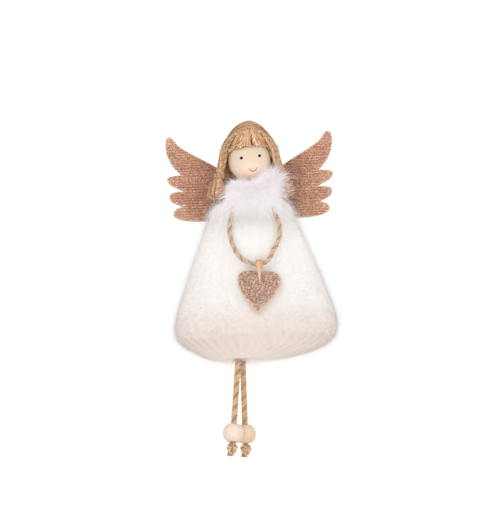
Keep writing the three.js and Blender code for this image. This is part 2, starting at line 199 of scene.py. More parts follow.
VIEW_DISTANCE, VIEW_WIDTH, FILM_WIDTH = 2.0, 0.2868, 36
AIM_LEFT, AIM_BELOW = 0.00052, 0.0543
pitch, roll = math.radians(12), math.radians(2.4)
ahead = Vector((0, math.cos(pitch), math.sin(pitch)))
upright = Vector((0, -math.sin(pitch), math.cos(pitch)))
right = math.cos(roll) * Vector((1, 0, 0)) - math.sin(roll) * upright
up = right.cross(ahead)
camera = put("camera", bpy.data.cameras.new("camera"))
camera.data.sensor_fit = "HORIZONTAL"
camera.data.sensor_width = FILM_WIDTH
camera.data.lens = FILM_WIDTH * VIEW_DISTANCE / VIEW_WIDTH
camera.matrix_world = Matrix((right, up, -ahead)).transposed().to_4x4()
camera.location = Vector(at((0, 0, 0))) - AIM_LEFT * right - AIM_BELOW * up - VIEW_DISTANCE * ahead
scene.camera = camera

SKY_LIGHT = 0.74
scene.world = bpy.data.worlds.new("studio")
scene.world.use_nodes = True
studio = Wire(scene.world.node_tree)
path = studio.make("ShaderNodeLightPath")
seen = studio.sum("MAXIMUM", path.also("Is Camera Ray"), path.also("Is Glossy Ray"))
seen = studio.sum("MAXIMUM", seen, path.also("Is Transmission Ray"))
background = scene.world.node_tree.nodes["Background"]
background.inputs["Color"].default_value = (1, 1, 1, 1)
studio.tree.links.new((SKY_LIGHT + (1 - SKY_LIGHT) * seen).socket, background.inputs["Strength"])

LAMPS = {
    "key_lamp": ((-0.7, -1.3, 0.75), (0, 0, -0.08), 0.8, 4.3),
    "fill_lamp": ((1.1, -0.9, 0.1), (0, 0, -0.08), 0.9, 2.7),
    "low_lamp": ((-0.1, -0.9, -0.72), (0, 0, -0.12), 0.7, 4.6),
}
for name, (place, aim, size, power) in LAMPS.items():
    light = bpy.data.lights.new(name, "AREA")
    light.shape = "DISK"
    light.size = size
    light.energy = power
    light.color = (1, 0.985, 0.96)
    stand = put(name, light)
    stand.location = place
    stand.rotation_euler = (Vector(aim) - Vector(place)).to_track_quat("-Z", "Y").to_euler()

FLOOR_LEVEL, FLOOR_REACH = -0.8, 4
floor_finish, wire, shader = finish("pale_floor", roughness=0.8)
mottle = wire.noise(wire.place(), 9.0, 3.0)
lay_on(shader, base_color=mottle.between(shade(244, 243, 241), shade(250, 249, 248)))
corners = [(x * FLOOR_REACH, y * FLOOR_REACH, FLOOR_LEVEL) for x, y in ((-1, -1), (1, -1), (1, 1), (-1, 1))]
put("floor", skin("floor", corners, [(0, 1, 2, 3)], floor_finish))


# The twine loop that carries the heart: one length of three-strand jute, held at both ends
# under the collar and hanging down the front of the dress.
def new_tree(name, ground, result, **inputs):
    """A tree that makes geometry from a ground. Gives back a wire in it and what it is given."""
    tree = bpy.data.node_groups.new(name, "GeometryNodeTree")
    for key, kind in {ground: "Geometry", **inputs}.items():
        title = key.replace("_", " ").title()
        tree.interface.new_socket(title, in_out="INPUT", socket_type="NodeSocket" + kind)
    tree.interface.new_socket(result, in_out="OUTPUT", socket_type="NodeSocketGeometry")
    wire = Wire(tree)
    return wire, wire.make("NodeGroupInput")


def end_tree(wire, made, given):
    """Ends a tree with its pieces made real and given their finish."""
    made = wire.make("GeometryNodeRealizeInstances", sockets={0: made})
    made = wire.make("GeometryNodeSetMaterial", sockets={0: made, "Material": given.also("Finish")})
    wire.make("NodeGroupOutput", sockets={0: made})
    return wire.tree


def yarn_tree():
    """Winds round strands about each line of a mesh, as plies in a yarn."""
    wire, given = new_tree(
        "plied_yarn", "Lines", "Yarn", plies="Int", ply_radius="Float", wind_radius="Float", pitch="Float",
        step="Float", sides="Int", slack="Float", seed="Int", finish="Material",
    )
    line = wire.make("GeometryNodeMeshToCurve", sockets={0: given.also("Lines")})
    steps = {"Curve": line, "Length": given.also("Step")}
    line = wire.make("GeometryNodeResampleCurve", {"mode": "LENGTH"}, steps)
    line = wire.make("GeometryNodeSetCurveNormal", {"mode": "MINIMUM_TWIST"}, {"Curve": line})
    line = line.store("tone", wire.chance(given.also("Seed"), wire.make("GeometryNodeCurveOfPoint")))
    tone = wire.make("GeometryNodeInputNamedAttribute", {"data_type": "FLOAT"}, {"Name": "tone"})
    copies = {0: line, "Amount": given.also("Plies")}
    plies = wire.make("GeometryNodeDuplicateElements", {"domain": "SPLINE"}, copies)
    along = wire.make("GeometryNodeSplineParameter", output="Length")
    turn = plies.also("Duplicate Index") / given.also("Plies") + along / given.also("Pitch") + 5 * tone
    wander = {"W": along * 160.0 + 40 * tone, "Scale": 1.0, "Detail": 1.0}
    loose = wire.make("ShaderNodeTexNoise", {"noise_dimensions": "1D"}, wander) - 0.5
    angle = 2 * math.pi * turn + loose
    normal = wire.make("GeometryNodeInputNormal")
    side = wire.vector("CROSS_PRODUCT", wire.make("GeometryNodeInputTangent"), normal)
    out, over = normal.scaled(wire.sum("COSINE", angle)), side.scaled(wire.sum("SINE", angle))
    swell = 1 + loose * given.also("Slack")
    shift = wire.vector("ADD", out, over).scaled(given.also("Wind Radius") * swell)
    wound = wire.make("GeometryNodeSetPosition", sockets={"Geometry": plies, "Offset": shift})
    own = wire.chance(given.also("Seed") + 1, wire.make("GeometryNodeCurveOfPoint"))
    wound = wound.store("along", along).store("tone", tone * 0.4 + own * 0.6)
    sizes = {"Resolution": given.also("Sides"), "Radius": given.also("Ply Radius")}
    ring = wire.make("GeometryNodeCurvePrimitiveCircle", sockets=sizes)
    around = wire.vector("NORMALIZE", wire.make("GeometryNodeInputPosition"))
    ring = ring.store("around", around, "FLOAT_VECTOR")
    strands = {"Curve": wound, "Profile Curve": ring, "Scale": swell, "Fill Caps": True}
    return end_tree(wire, wire.make("GeometryNodeCurveToMesh", sockets=strands), given)


def settle(name, mesh, tree, **values):
    """Runs a tree on a mesh and keeps the result as a plain piece."""
    piece = put(name, mesh)
    making = piece.modifiers.new("making", "NODES")
    making.node_group = tree
    for item in tree.interface.items_tree:
        key = item.name.lower().replace(" ", "_")
        if item.in_out == "INPUT" and key in values:
            making[item.identifier] = values[key]
    graph = bpy.context.evaluated_depsgraph_get()
    made = bpy.data.meshes.new_from_object(piece.evaluated_get(graph), depsgraph=graph)
    piece.modifiers.remove(making)
    piece.data = made
    made.name = name
    made.shade_smooth()
    return piece


PLIED_YARN = yarn_tree()


def spun(name, lines, **values):
    """Yarn along lines of points in millimetres, as one piece."""
    edges, start = [], 0
    for line in lines:
        edges += [(start + i, start + i + 1) for i in range(len(line) - 1)]
        start += len(line)
    mesh = bpy.data.meshes.new("lines")
    mesh.from_pydata(at(np.vstack(lines)).tolist(), edges, [])
    return settle(name, mesh, PLIED_YARN, **values)


def smooth_line(points, gap=1.0):
    """A smooth line through points in millimetres, with a point about every gap."""
    points = np.asarray(points, float)
    ends = np.vstack([2 * points[0] - points[1], points, 2 * points[-1] - points[-2]])
    line = []
    for before, here, there, after in zip(ends, ends[1:], ends[2:], ends[3:]):
        count = max(2, math.ceil(np.linalg.norm(there - here) / gap))
        for t in np.arange(count) / count:
            line.append(
                0.5 * (2 * here + (there - before) * t
                       + (2 * before - 5 * here + 4 * there - after) * t**2
                       + (3 * here - before - 3 * there + after) * t**3)
            )
    return np.array(line + [points[-1]])


def length_of(line):
    return float(np.linalg.norm(np.diff(line, axis=0), axis=1).sum())


def yarn_finish(name, dark, middle, light, streak=1.0):
    """Plant fibre: fine streaks of fibre colour that wind along each strand, with painted shade where they
    sink into grooves.
    """
    material, wire, shader = finish(
        name, sheen_weight=0.25, sheen_roughness=0.6, sheen_tint=light, specular_ior_level=0.2
    )
    along, around, tone = wire.kept("along"), wire.kept("around", "Vector"), wire.kept("tone")
    turn = {"Vector": around, "Angle": along * -2400.0}
    wound = wire.make("ShaderNodeVectorRotate", {"rotation_type": "Z_AXIS"}, turn)
    shifted = wire.make("ShaderNodeCombineXYZ", sockets={"Z": along * 260.0 * streak + tone * 50.0})
    drawn = wire.vector("ADD", wire.vector("MULTIPLY", wound, (3.2, 3.2, 0)), shifted)
    fibres = wire.noise(drawn, 1.0, 3.0, roughness=0.65)
    patches = {"W": along * 620.0 + tone * 90.0, "Detail": 2.0}
    patch = wire.make("ShaderNodeTexNoise", {"noise_dimensions": "1D"}, patches)
    # The streak noise that makes grooves in the bump also darkens the colour there: painted shade in the
    # grooves, over the fibres' own streaky colour.
    amount = fibres * 0.7 + patch.step(0.3, 0.7) * 0.3 + (tone - 0.5) * 0.4 - 0.02
    colour = amount.ramp((0.3, dark), (0.52, middle), (0.76, light))
    lay_on(shader, base_color=colour, roughness=1 - fibres * 0.25, normal=fibres.bump(0.6, 0.00012))
    return material


jute = yarn_finish("jute_twine", shade(124, 97, 77), shade(200, 169, 140), shade(236, 214, 189))

LOOP_ROUTE = [
    (-9.5, -11.3, -26), (-10.6, -12.6, -30.4), (-12.3, -13.9, -39.1), (-13, -15.2, -45.9),
    (-11.6, -17, -53.5), (-7.8, -19.3, -61), (-2.2, -20.9, -65.2), (3, -21.3, -65.8),
    (8, -20.6, -64.2), (12, -17.7, -56.6), (14.9, -15.8, -50.6), (15.6, -14.3, -44.4),
    (14.5, -13.3, -38.4), (12.7, -12.6, -33.4), (11.5, -11.3, -26),
]
TWINE = dict(
    plies=3, ply_radius=0.00072, wind_radius=0.00078, pitch=0.0066, step=0.0005, sides=9, slack=0.14,
)
LOOP_TWINE = dict(TWINE, ply_radius=0.00064, wind_radius=0.00068)
loop_line = smooth_line(LOOP_ROUTE)
loop = spun("twine_loop", [loop_line], seed=3, finish=jute, **LOOP_TWINE)
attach(loop, "heart_loop")
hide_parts("heart_cord")
at(LOOP_ROUTE[0])
length_of(loop_line) / 1000
at(loop_line)


# The legs: two more lengths of the twine, hung from a knot inside the dress. Each runs through
# a wooden foot bead and ends below it in a tight knot with a short frayed tail.
LEGS = {
    "left": ((-11.3, -6.2, -119.5), (-11.83, -6.27, -124.47), (-15.6, -6.8, -159.94)),
    "right": ((-8.6, -1.8, -119.5), (-8.64, -1.1, -124.45), (-8.9, 3.8, -159.04)),
}
LEG_SEEDS = {"left": 11, "right": 12}
ABOVE_HIP, BELOW_BEAD, KNOT_BELOW_BEAD = 1.4, 6.2, 8.9
KNOT_SIZE, KNOT_TOP, KNOT_TAIL = 0.68, 3.2, -3.3
BEND_REACH = 4
LEG_TWINE = dict(TWINE, ply_radius=0.00083, wind_radius=0.00088)
TAIL_FIBRE = dict(
    plies=1, ply_radius=0.00013, wind_radius=0.00005, pitch=0.004, step=0.0005, sides=4, slack=0.8,
)
warm_jute = yarn_finish("warm_jute", shade(136, 95, 63), shade(206, 167, 127), shade(238, 212, 178))


def hanging_turn(down):
    """The turn that makes a piece which hangs straight hang along down instead."""
    return Vector((0, 0, -1)).rotation_difference(Vector(down)).to_matrix()


def turned_to(points, down):
    """Points measured from a knot's middle, turned so that the tail hangs along down."""
    return np.asarray(points, float) @ np.array(hanging_turn(down)).T


def overhand(size, top, tail):
    """The line of an overhand knot: in from the top, three lobes, and out to the tail."""
    t = np.linspace(0.45, 2 * math.pi - 0.45, 22)
    lobes = [np.sin(t) + 2 * np.sin(2 * t), -1.3 * np.sin(3 * t), np.cos(t) - 2 * np.cos(2 * t)]
    way_in = [(0, 0, top), (0.2, 0.3, 0.55 * top)]
    way_out = [(-0.5, -0.4, 0.7 * tail), (-1.2, -0.3, tail)]
    return np.vstack([way_in, size * np.stack(lobes, axis=1), way_out])


def frayed(count, reach, width, seed):
    """Short loose fibres at a cut end, measured from the cut."""
    rng = np.random.default_rng(seed)
    fibres = []
    for _ in range(count):
        angle, spread = rng.uniform(0, 2 * math.pi), width * math.sqrt(rng.uniform(0.02, 1))
        side = np.array([math.cos(angle), math.sin(angle), 0])
        drop = reach * rng.uniform(0.5, 1)
        fibres.append([side * spread * 0.8 + (0, 0, 1.4), side * spread, side * spread * 1.35 - (0, 0, drop)])
    return fibres


def unit(line):
    return line / np.linalg.norm(line)


for side, points in LEGS.items():
    hip, knee, bead = (np.array(point) for point in points)
    down, seed = unit(bead - knee), LEG_SEEDS[side]
    knot_middle = bead + KNOT_BELOW_BEAD * down
    above, below = hip - ABOVE_HIP * down, bead + BELOW_BEAD * down
    leg_line = smooth_line([above, knee, 0.5 * (knee + bead), bead, below])
    leg = spun(f"leg_{side}", [leg_line], seed=seed, finish=warm_jute, **LEG_TWINE)
    tied = knot_middle + turned_to(overhand(KNOT_SIZE, KNOT_TOP, KNOT_TAIL), down)
    knot = spun(f"foot_knot_twine_{side}", [smooth_line(tied, 0.4)], seed=seed, finish=warm_jute, **TWINE)
    fibres = [smooth_line(tied[-1] + turned_to(f, down), 0.5) for f in frayed(46, 1.1, 1.5, seed)]
    tail = spun(f"foot_tail_{side}", fibres, seed=seed, finish=warm_jute, **TAIL_FIBRE)
    at(knee + BEND_REACH * unit(hip - knee))
    at(knee + BEND_REACH * down)
    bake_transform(leg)
    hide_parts(f"leg_cord_upper_{side}", f"leg_cord_lower_{side}")
    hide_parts(f"foot_knot_{side}")
    for piece in (knot, tail):
        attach(piece, f"leg_lower_{side}")
    at(hip)
    length_of(leg_line) / 1000
    at(leg_line)


# The foot beads: turned from pale close-grained wood, flat at both ends, bored for the twine
# and left under a thin clear lacquer. They slide on the legs down to the knots.
FOOT_RADIUS, FOOT_HALF_HEIGHT, FOOT_BORE_RADIUS, FOOT_EDGE, BORE_EDGE = 6, 5.2, 2, 0.6, 0.35


def ring_faces(rows, sides, closed=False, rising=False):
    """Faces between rings that run down, or up where rising, and back to the first where closed."""
    index = np.arange(rows * sides).reshape(rows, sides)
    here, there = (index, np.roll(index, -1, axis=0)) if closed else (index[:-1], index[1:])
    corners = [here, there, np.roll(there, -1, axis=1), np.roll(here, -1, axis=1)]
    faces = np.stack(corners, axis=2).reshape(-1, 4)
    return (faces[:, [0, 3, 2, 1]] if rising else faces).tolist()


def turned_piece(name, profile, sides, material):
    """A closed profile of (radius, height) in millimetres, turned about the upright axis."""
    angles = np.arange(sides) * 2 * math.pi / sides
    x, y = np.cos(angles), np.sin(angles)
    rings = [np.stack([r * x, r * y, np.full(sides, z)], axis=1) for r, z in profile]
    faces = ring_faces(len(profile), sides, closed=True, rising=True)
    return skin(name, np.vstack(rings), faces, material)


def rounded(corner, before, after, radius, count=5):
    """Points of a small round over the corner of a profile."""
    corner, before, after = (np.asarray(p, float) for p in (corner, before, after))
    first, last = corner + radius * unit(before - corner), corner + radius * unit(after - corner)
    t = np.linspace(0, 1, count)[:, None]
    return ((1 - t) ** 2 * first + 2 * t * (1 - t) * corner + t**2 * last).tolist()


def bead_profile(radius, half, bore, edge, count=28):
    """A bead's skin from its lower flat to its upper flat, and back through its bore."""
    rim = math.sqrt(radius**2 - half**2)
    steep = math.asin(half / radius)
    ball = [(radius * math.cos(a), radius * math.sin(a)) for a in np.linspace(-steep, steep, count)]
    low = rounded((rim, -half), (bore, -half), ball[2], edge)
    high = rounded((rim, half), ball[-3], (bore, half), edge)
    inner_high = rounded((bore, half), (rim, half), (bore, 0), BORE_EDGE)
    inner_low = rounded((bore, -half), (bore, 0), (rim, -half), BORE_EDGE)
    body = [point for point in ball if abs(point[1]) < half - 0.8 * edge]
    return low + body + high + inner_high + inner_low


def wood_finish(name, pale, grain, lower_colour, lower_colour_low, lower_colour_high):
    """Close-grained wood: faint growth lines and pores under a thin clear lacquer, blended towards the bottom
    into a lower colour.
    """
    material, wire, shader = finish(name, coat_roughness=0.25, specular_ior_level=0.4)
    place = wire.place()
    lie = {"Vector": place, "Rotation": (0.35, 0.25, 0.4), "Scale": (1, 1, 0.16)}
    turned = wire.make("ShaderNodeMapping", sockets=lie)
    sway, pores = wire.noise(turned, 160.0, 2.0), wire.noise(turned, 2600.0, 2.0)
    rings = wire.make(
        "ShaderNodeTexWave",
        {"wave_type": "BANDS", "bands_direction": "X", "wave_profile": "SAW"},
        {"Vector": turned, "Scale": 130.0, "Distortion": 3.0, "Detail": 2.0, "Detail Scale": 1.5},
    )
    lines = rings * 0.35 + sway * 0.35 + pores.step(0.55, 0.75) * 0.3
    # Below a height the colour is blended into the lower colour. On the face bead this is painted light: the
    # chin is painted paler and pinker, against the shadow that the collar casts on it.
    warm = 1 - place.axis("Z").step(lower_colour_low, lower_colour_high)
    colour = (lines * 0.75).between(pale, grain)
    lay_on(
        shader, base_color=(warm * 0.7).between(colour, lower_colour), roughness=0.38 + lines * 0.2,
        coat_weight=0.35 - lines * 0.2, normal=lines.bump(0.12, 0.0002),
    )
    return material


# Each foot bead is darker and warmer towards its bottom.
bead_wood = {
    "left": wood_finish(
        "bead_wood", shade(236, 220, 204), shade(222, 198, 176), shade(230, 202, 186), -0.184, -0.176
    ),
    "right": wood_finish(
        "bead_wood_tan", shade(236, 214, 191), shade(219, 187, 154), shade(225, 186, 150), -0.182, -0.172
    ),
}
foot_profile = bead_profile(FOOT_RADIUS, FOOT_HALF_HEIGHT, FOOT_BORE_RADIUS, FOOT_EDGE)
for side, (hip, knee, bead) in LEGS.items():
    mesh = turned_piece(f"foot_{side}", foot_profile, 56, bead_wood[side])
    turn = hanging_turn(unit(np.array(bead) - knee)).to_4x4()
    mesh.transform(Matrix.Translation(at(bead)) @ turn @ Matrix.Scale(MM, 4))
    foot = put(f"foot_{side}", mesh)
    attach(foot, f"foot_{side}")
    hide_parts(f"foot_bead_{side}")


# The neck cord: jute drawn through the head bead and knotted above and below it. Its lower
# end goes down into the filling of the dress, and the doll hangs from the upper knot.
NECK_TWINE = dict(TWINE, ply_radius=0.00062, wind_radius=0.0006)
NECK_KNOT_SIZE, NECK_KNOT_HEIGHT = 0.52, 15.0
neck_line = smooth_line([(0, 0, -24.4), (0.1, 0, -20), (0, 0.1, -17), (0, 0, 0), (0, 0, 12.4)], 0.6)
upper_knot = smooth_line(overhand(NECK_KNOT_SIZE, -2.6, 2.2) + (0, 0, NECK_KNOT_HEIGHT), 0.4)
lower_knot = smooth_line(overhand(NECK_KNOT_SIZE, 2.6, -2.6) - (0, 0, NECK_KNOT_HEIGHT), 0.4)
neck = spun("neck_twine", [neck_line, upper_knot, lower_knot], seed=5, finish=jute, **NECK_TWINE)
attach(neck, "torso")
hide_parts("neck_cord")


# The head: one round bead of the same wood, bored from top to bottom for the neck cord. The
# eyes are drops of black paint and the mouth is a fine brushed line.
HEAD_RADIUS, HEAD_BORE_RADIUS, HEAD_BORE_EDGE = 12.5, 2, 0.3
EYES = {"left": (-4.6, 0.75), "right": (5.85, 2.1)}
EYE_RADIUS, EYE_RELIEF, EYE_SEAT, EYE_ROOT = 0.95, 0.16, 0.05, -0.3
MOUTH_POINTS = [(-0.6, -4.9, 0), (0.3, -6.0, 0), (2.0, -6.75, 0), (3.7, -5.9, 0), (4.5, -4.4, 0)]
BRUSH_HALF_WIDTH, BRUSH_RELIEF = 0.26, 0.09

# The face's lower colour is painted light, paler and pinker than the wood, set against the collar's shadow on
# the chin.
face_wood = wood_finish(
    "face_wood", shade(228, 209, 186), shade(220, 196, 168), shade(250, 224, 206), -0.0275, -0.0185
)
steep = math.acos(HEAD_BORE_RADIUS / HEAD_RADIUS)
ball = [(HEAD_RADIUS * math.cos(a), HEAD_RADIUS * math.sin(a)) for a in np.linspace(-steep, steep, 60)]
bore = rounded(ball[-1], ball[-2], (HEAD_BORE_RADIUS, 0), HEAD_BORE_EDGE)
bore += rounded(ball[0], (HEAD_BORE_RADIUS, 0), ball[1], HEAD_BORE_EDGE)
head_mesh = turned_piece("head", ball[1:-1] + bore, 96, face_wood)
head_mesh.transform(Matrix.Translation(at((0, 0, 0))) @ Matrix.Scale(MM, 4))
head = put("head", head_mesh)
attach(head, "head")
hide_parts("head_bead")


def on_face(across, upward, lift):
    """A point on the bead, by its place on the face as the face is seen."""
    across, upward, lift = np.broadcast_arrays(*(np.asarray(v, float) for v in (across, upward, lift)))
    out = np.sqrt(HEAD_RADIUS**2 - across**2 - upward**2)
    spot = np.stack([across, upward, out], axis=-1) @ np.array([right, up, -ahead])
    return spot * (1 + lift[..., None] / HEAD_RADIUS)


def paint_finish(name, dark, light, scale, roughness, **even):
    """Paint laid on with a brush, a little uneven."""
    material, wire, shader = finish(name, **even)
    brushed = wire.noise(wire.place(), scale, 2.0)
    lay_on(shader, base_color=brushed.between(dark, light), roughness=roughness + brushed * 0.2)
    return material


eye_paint = paint_finish(
    "eye_paint", shade(18, 14, 11), shade(40, 31, 24), 2500.0, 0.45,
    coat_weight=0.05, coat_roughness=0.1, specular_ior_level=0.2,
)
mouth_paint = paint_finish(
    "mouth_paint", shade(128, 78, 52), shade(170, 112, 80), 1800.0, 0.5, specular_ior_level=0.3
)
rings, sides = 6, 24
angles = np.arange(sides) * 2 * math.pi / sides
for side, (across, upward) in EYES.items():
    points = []
    for share in 1 - np.arange(rings) / rings:
        reach = EYE_RADIUS * share * (1 + 0.05 * np.sin(3 * angles + across))
        lift = EYE_RELIEF * math.sqrt(1 - share**4) - EYE_SEAT
        points.append(on_face(across + reach * np.cos(angles), upward + reach * np.sin(angles), lift))
    points.append(on_face([across], [upward], [EYE_RELIEF - EYE_SEAT]))
    points.append(on_face([across], [upward], [EYE_ROOT]))
    faces = ring_faces(rings, sides, rising=True)
    tip = rings * sides
    faces += [(tip - sides + i, tip - sides + (i + 1) % sides, tip) for i in range(sides)]
    faces += [((i + 1) % sides, i, tip + 1) for i in range(sides)]
    eye = put(f"eye_{side}", skin(f"eye_{side}", at(np.vstack(points)), faces, eye_paint))
    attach(eye, "head")

brush_line = smooth_line(MOUTH_POINTS, 0.25)
strength = np.sin(np.linspace(0.25, math.pi - 0.25, len(brush_line)))
sides = 10
angles = np.arange(sides) * 2 * math.pi / sides
points = []
for here, along, wide in zip(brush_line, np.gradient(brush_line, axis=0), strength):
    aside = np.array([-along[1], along[0]]) / np.hypot(along[0], along[1])
    spread = BRUSH_HALF_WIDTH * wide * np.cos(angles)
    across, upward = here[0] + spread * aside[0], here[1] + spread * aside[1]
    points.append(on_face(across, upward, BRUSH_RELIEF * np.sin(angles)))
faces = ring_faces(len(points), sides, rising=True)
faces += [tuple(range(sides))[::-1], tuple((len(points) - 1) * sides + i for i in range(sides))]
mouth = put("mouth", skin("mouth", at(np.vstack(points)), faces, mouth_paint))
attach(mouth, "head")


# The hair: a hank of plied flax yarn laid over the bead from ear to ear in several layers on
# a close cap. It is tied at each ear and cut into a tassel below the tie.
HAIR_WIDTH, HAIR_HEIGHT, HAIR_DEPTH = 18.3, 23.4, 0.85
HAIR_MIDDLE = np.array([0, 0, -3])
FRONT_TILT, NAPE_TILT = -26, 116
EAR = np.array([17.6, 0, -7.3])
PIGTAIL_LEAN = math.radians(10)
TASSEL_CORE, GOLDEN_ANGLE = 15, 2.39996
LOCKS = 8
TIE_RADIUS, TIE_TURNS, TIE_TOP, TIE_BOTTOM = 2.75, 4.2, 0.45, 2.6
YARN = dict(
    plies=2, ply_radius=0.00043, wind_radius=0.00042, pitch=0.0034, step=0.00058, sides=6, slack=0.5,
)
TIE_YARN = dict(
    plies=2, ply_radius=0.00026, wind_radius=0.00022, pitch=0.0024, step=0.0004, sides=6, slack=0.3,
)

flax = yarn_finish("flax_yarn", shade(146, 98, 64), shade(217, 176, 136), shade(249, 227, 197), 1.6)
# The cap under the hank is the flax in darker colours: painted shade that stands for the shadow between and
# under the yarns.
flax_shade = yarn_finish("flax_cap", shade(138, 92, 56), shade(184, 138, 94), shade(214, 170, 124))


def hair_reach(ways):
    """How far the hair's outside is from a point low in the head, along each way."""
    near, far = np.full(ways.shape[:-1], 4.0), np.full(ways.shape[:-1], 34.0)
    for _ in range(40):
        middle = 0.5 * (near + far)
        x, y, z = np.moveaxis(ways * middle[..., None] + HAIR_MIDDLE, -1, 0)
        rise = np.clip(z / HAIR_HEIGHT, 0, 1) ** 1.5
        width = HAIR_WIDTH * (1 - rise) ** 0.571 + 0.1 * np.minimum(z, 0)
        inside = np.hypot(x, y / HAIR_DEPTH) < width
        near, far = np.where(inside, middle, near), np.where(inside, far, middle)
    return near


def over_head(across, tilt):
    """The way to a point over the head: across from ear to ear, tilted to the front or back."""
    return np.stack([np.sin(across), np.cos(across) * np.sin(tilt), np.cos(across) * np.cos(tilt)], axis=-1)


def in_tassel(sign, drop, out, back):
    """A point in a tassel, by how far it is below the ear and out from the tassel's middle."""
    axis = np.array([sign * math.sin(PIGTAIL_LEAN), 0, -math.cos(PIGTAIL_LEAN)])
    aside = np.array([sign * math.cos(PIGTAIL_LEAN), 0, math.sin(PIGTAIL_LEAN)])
    return EAR * (sign, 1, 1) + drop * axis + out * aside + np.array([0, back, 0])


def tassel_end(rng, sign, out, back):
    """The way of one yarn from the tie to its cut end."""
    spread = 4.5 + rng.uniform(-0.4, 0.6)
    return [
        in_tassel(sign, 1.5, 1.5 * out, 1.5 * back),
        in_tassel(sign, 4.2, 2.2 * out, 2.3 * back),
        in_tassel(sign, 8.6, 0.92 * spread * out, 0.92 * spread * back),
        in_tassel(sign, 12.2, spread * out, spread * back),
        in_tassel(sign, 14.4 + rng.uniform(-0.9, 0.7), 0.98 * spread * out, 0.98 * spread * back),
    ]


def hank(rng, layer, tilts):
    """Yarns of one layer, each from one tassel's cut end over the head to the other's."""
    yarns = []
    across = np.radians(np.linspace(-62, 62, 15))
    for tilt in tilts:
        tilt = tilt + rng.normal(0, 0.7)
        back = np.clip((tilt - FRONT_TILT) / (NAPE_TILT - FRONT_TILT) * 2 - 1, -0.95, 0.95)
        out = (1 - 0.62 * layer) * math.sqrt(1 - back**2) + rng.normal(0, 0.16)
        back = back + rng.normal(0, 0.16)
        size = max(1, math.hypot(out, back))
        out, back = out / size, back / size
        ways = over_head(across, np.full(15, math.radians(tilt)))
        depth = 1.0 + 1.62 * layer * np.abs(np.sin(across)) ** 1.5 + rng.normal(0, 0.16, 15)
        crown = ways * (hair_reach(ways) - depth)[:, None] + HAIR_MIDDLE
        left_ear, right_ear = (
            EAR * (sign, 1, 1) + (sign * (1.6 * out - 1.1), 2.9 * back, 4.4 + 0.6 * back) for sign in (-1, 1)
        )
        points = [*tassel_end(rng, -1, out, back)[::-1], left_ear, *crown, right_ear]
        yarns.append(smooth_line(points + tassel_end(rng, 1, out, back)))
    return yarns


def mark(mesh, **values):
    """Keeps values on the points of a mesh, for its material or its fibres."""
    for name, value in values.items():
        kept = np.ravel(value) + np.zeros(len(mesh.vertices))
        mesh.attributes.new(name, "FLOAT", "POINT").data.foreach_set("value", kept)


rng = np.random.default_rng(21)
outer_yarns = hank(rng, 0, np.linspace(FRONT_TILT, NAPE_TILT, 31))
inner_yarns = []
for layer, (count, last) in enumerate(((9, 8), (8, 2), (7, -4)), start=1):
    inner_yarns += hank(rng, layer, np.linspace(FRONT_TILT + 1, last, count))
for sign in (-1, 1):
    for number in range(TASSEL_CORE):
        reach, angle = math.sqrt((number + 0.5) / TASSEL_CORE), number * GOLDEN_ANGLE
        end = tassel_end(rng, sign, reach * math.cos(angle), reach * math.sin(angle))
        inner_yarns.append(smooth_line(end))
for sign in (-1, 1):
    for number in range(LOCKS):
        inward = 0.32 * number
        lock = [
            (sign * (9.4 + inward), -9.6 + number, 10.6),
            (sign * (13 + inward), -6.6 + 0.8 * number, 4.2),
            (sign * (13.9 + inward), -5 + 0.7 * number, -1.5),
            (sign * (15 + inward), -3.4 + 0.5 * number, -5),
        ]
        lock = np.array(lock) + rng.normal(0, 0.15, (4, 3))
        end = tassel_end(rng, sign, -0.7 + 0.1 * number, -0.85 + 0.14 * number)
        inner_yarns.append(smooth_line([*lock, *end]))
hair = spun("hair_hank", outer_yarns, seed=31, finish=flax, **YARN)
under_hair = spun("hair_hank_under", inner_yarns, seed=32, finish=flax, **YARN)

rows, columns = 30, 44
CAP_THICKNESS, CAP_DEPTH = 0.5, 3.2
across = np.radians(np.linspace(-84, 84, columns))[None, :]
front = FRONT_TILT + 3 + 34 * np.abs(np.sin(across)) ** 4
tilts = np.radians(front + (NAPE_TILT + 4 - front) * np.linspace(0, 1, rows)[:, None])
ways = over_head(across + 0 * tilts, tilts)
outside = np.maximum(13.4 + 2.6 * ways[..., 2], hair_reach(ways) - CAP_DEPTH)
layers = [ways * reach[..., None] + HAIR_MIDDLE for reach in (outside, outside - CAP_THICKNESS)]
points = np.vstack([layer.reshape(-1, 3) for layer in layers])
index = np.arange(rows * columns).reshape(rows, columns)
quads = np.stack([index[:-1, :-1], index[:-1, 1:], index[1:, 1:], index[1:, :-1]], axis=2).reshape(-1, 4)
border = np.concatenate([index[0], index[1:, -1], index[-1, -2::-1], index[-2:0:-1, 0]]).tolist()
faces = quads.tolist() + (index.size + quads[:, ::-1]).tolist()
faces += [(a, index.size + a, index.size + b, b) for a, b in zip(border, border[1:] + border[:1])]
# The cap wears the darker flax, painted shade under the hank.
cap_mesh = skin("hair_cap", at(points), faces, flax_shade)
mark(cap_mesh, along=points[:, 0] * MM, tone=0.5 + 0.4 * np.sin(points[:, 1] * 9))
cap_mesh.attributes.new("around", "FLOAT_VECTOR", "POINT").data.foreach_set("vector", (points * 0.6).ravel())
cap = put("hair_cap", cap_mesh)

ties = []
for sign, side in ((-1, "left"), (1, "right")):
    angles, drops = np.linspace(0, 2 * math.pi * TIE_TURNS, 100), np.linspace(TIE_TOP, TIE_BOTTOM, 100)
    wound = [
        in_tassel(sign, drop, TIE_RADIUS * math.cos(angle), TIE_RADIUS * math.sin(angle))
        for angle, drop in zip(angles, drops)
    ]
    tie = spun(f"tassel_tie_{side}", [np.array(wound)], seed=35, finish=flax, **TIE_YARN)
    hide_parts(f"pigtail_tie_{side}")
    ties.append(tie)
for piece in (hair, under_hair, cap, *ties):
    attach(piece, "head")
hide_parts("hair_crown", "hair_back", "pigtail_left", "pigtail_right")


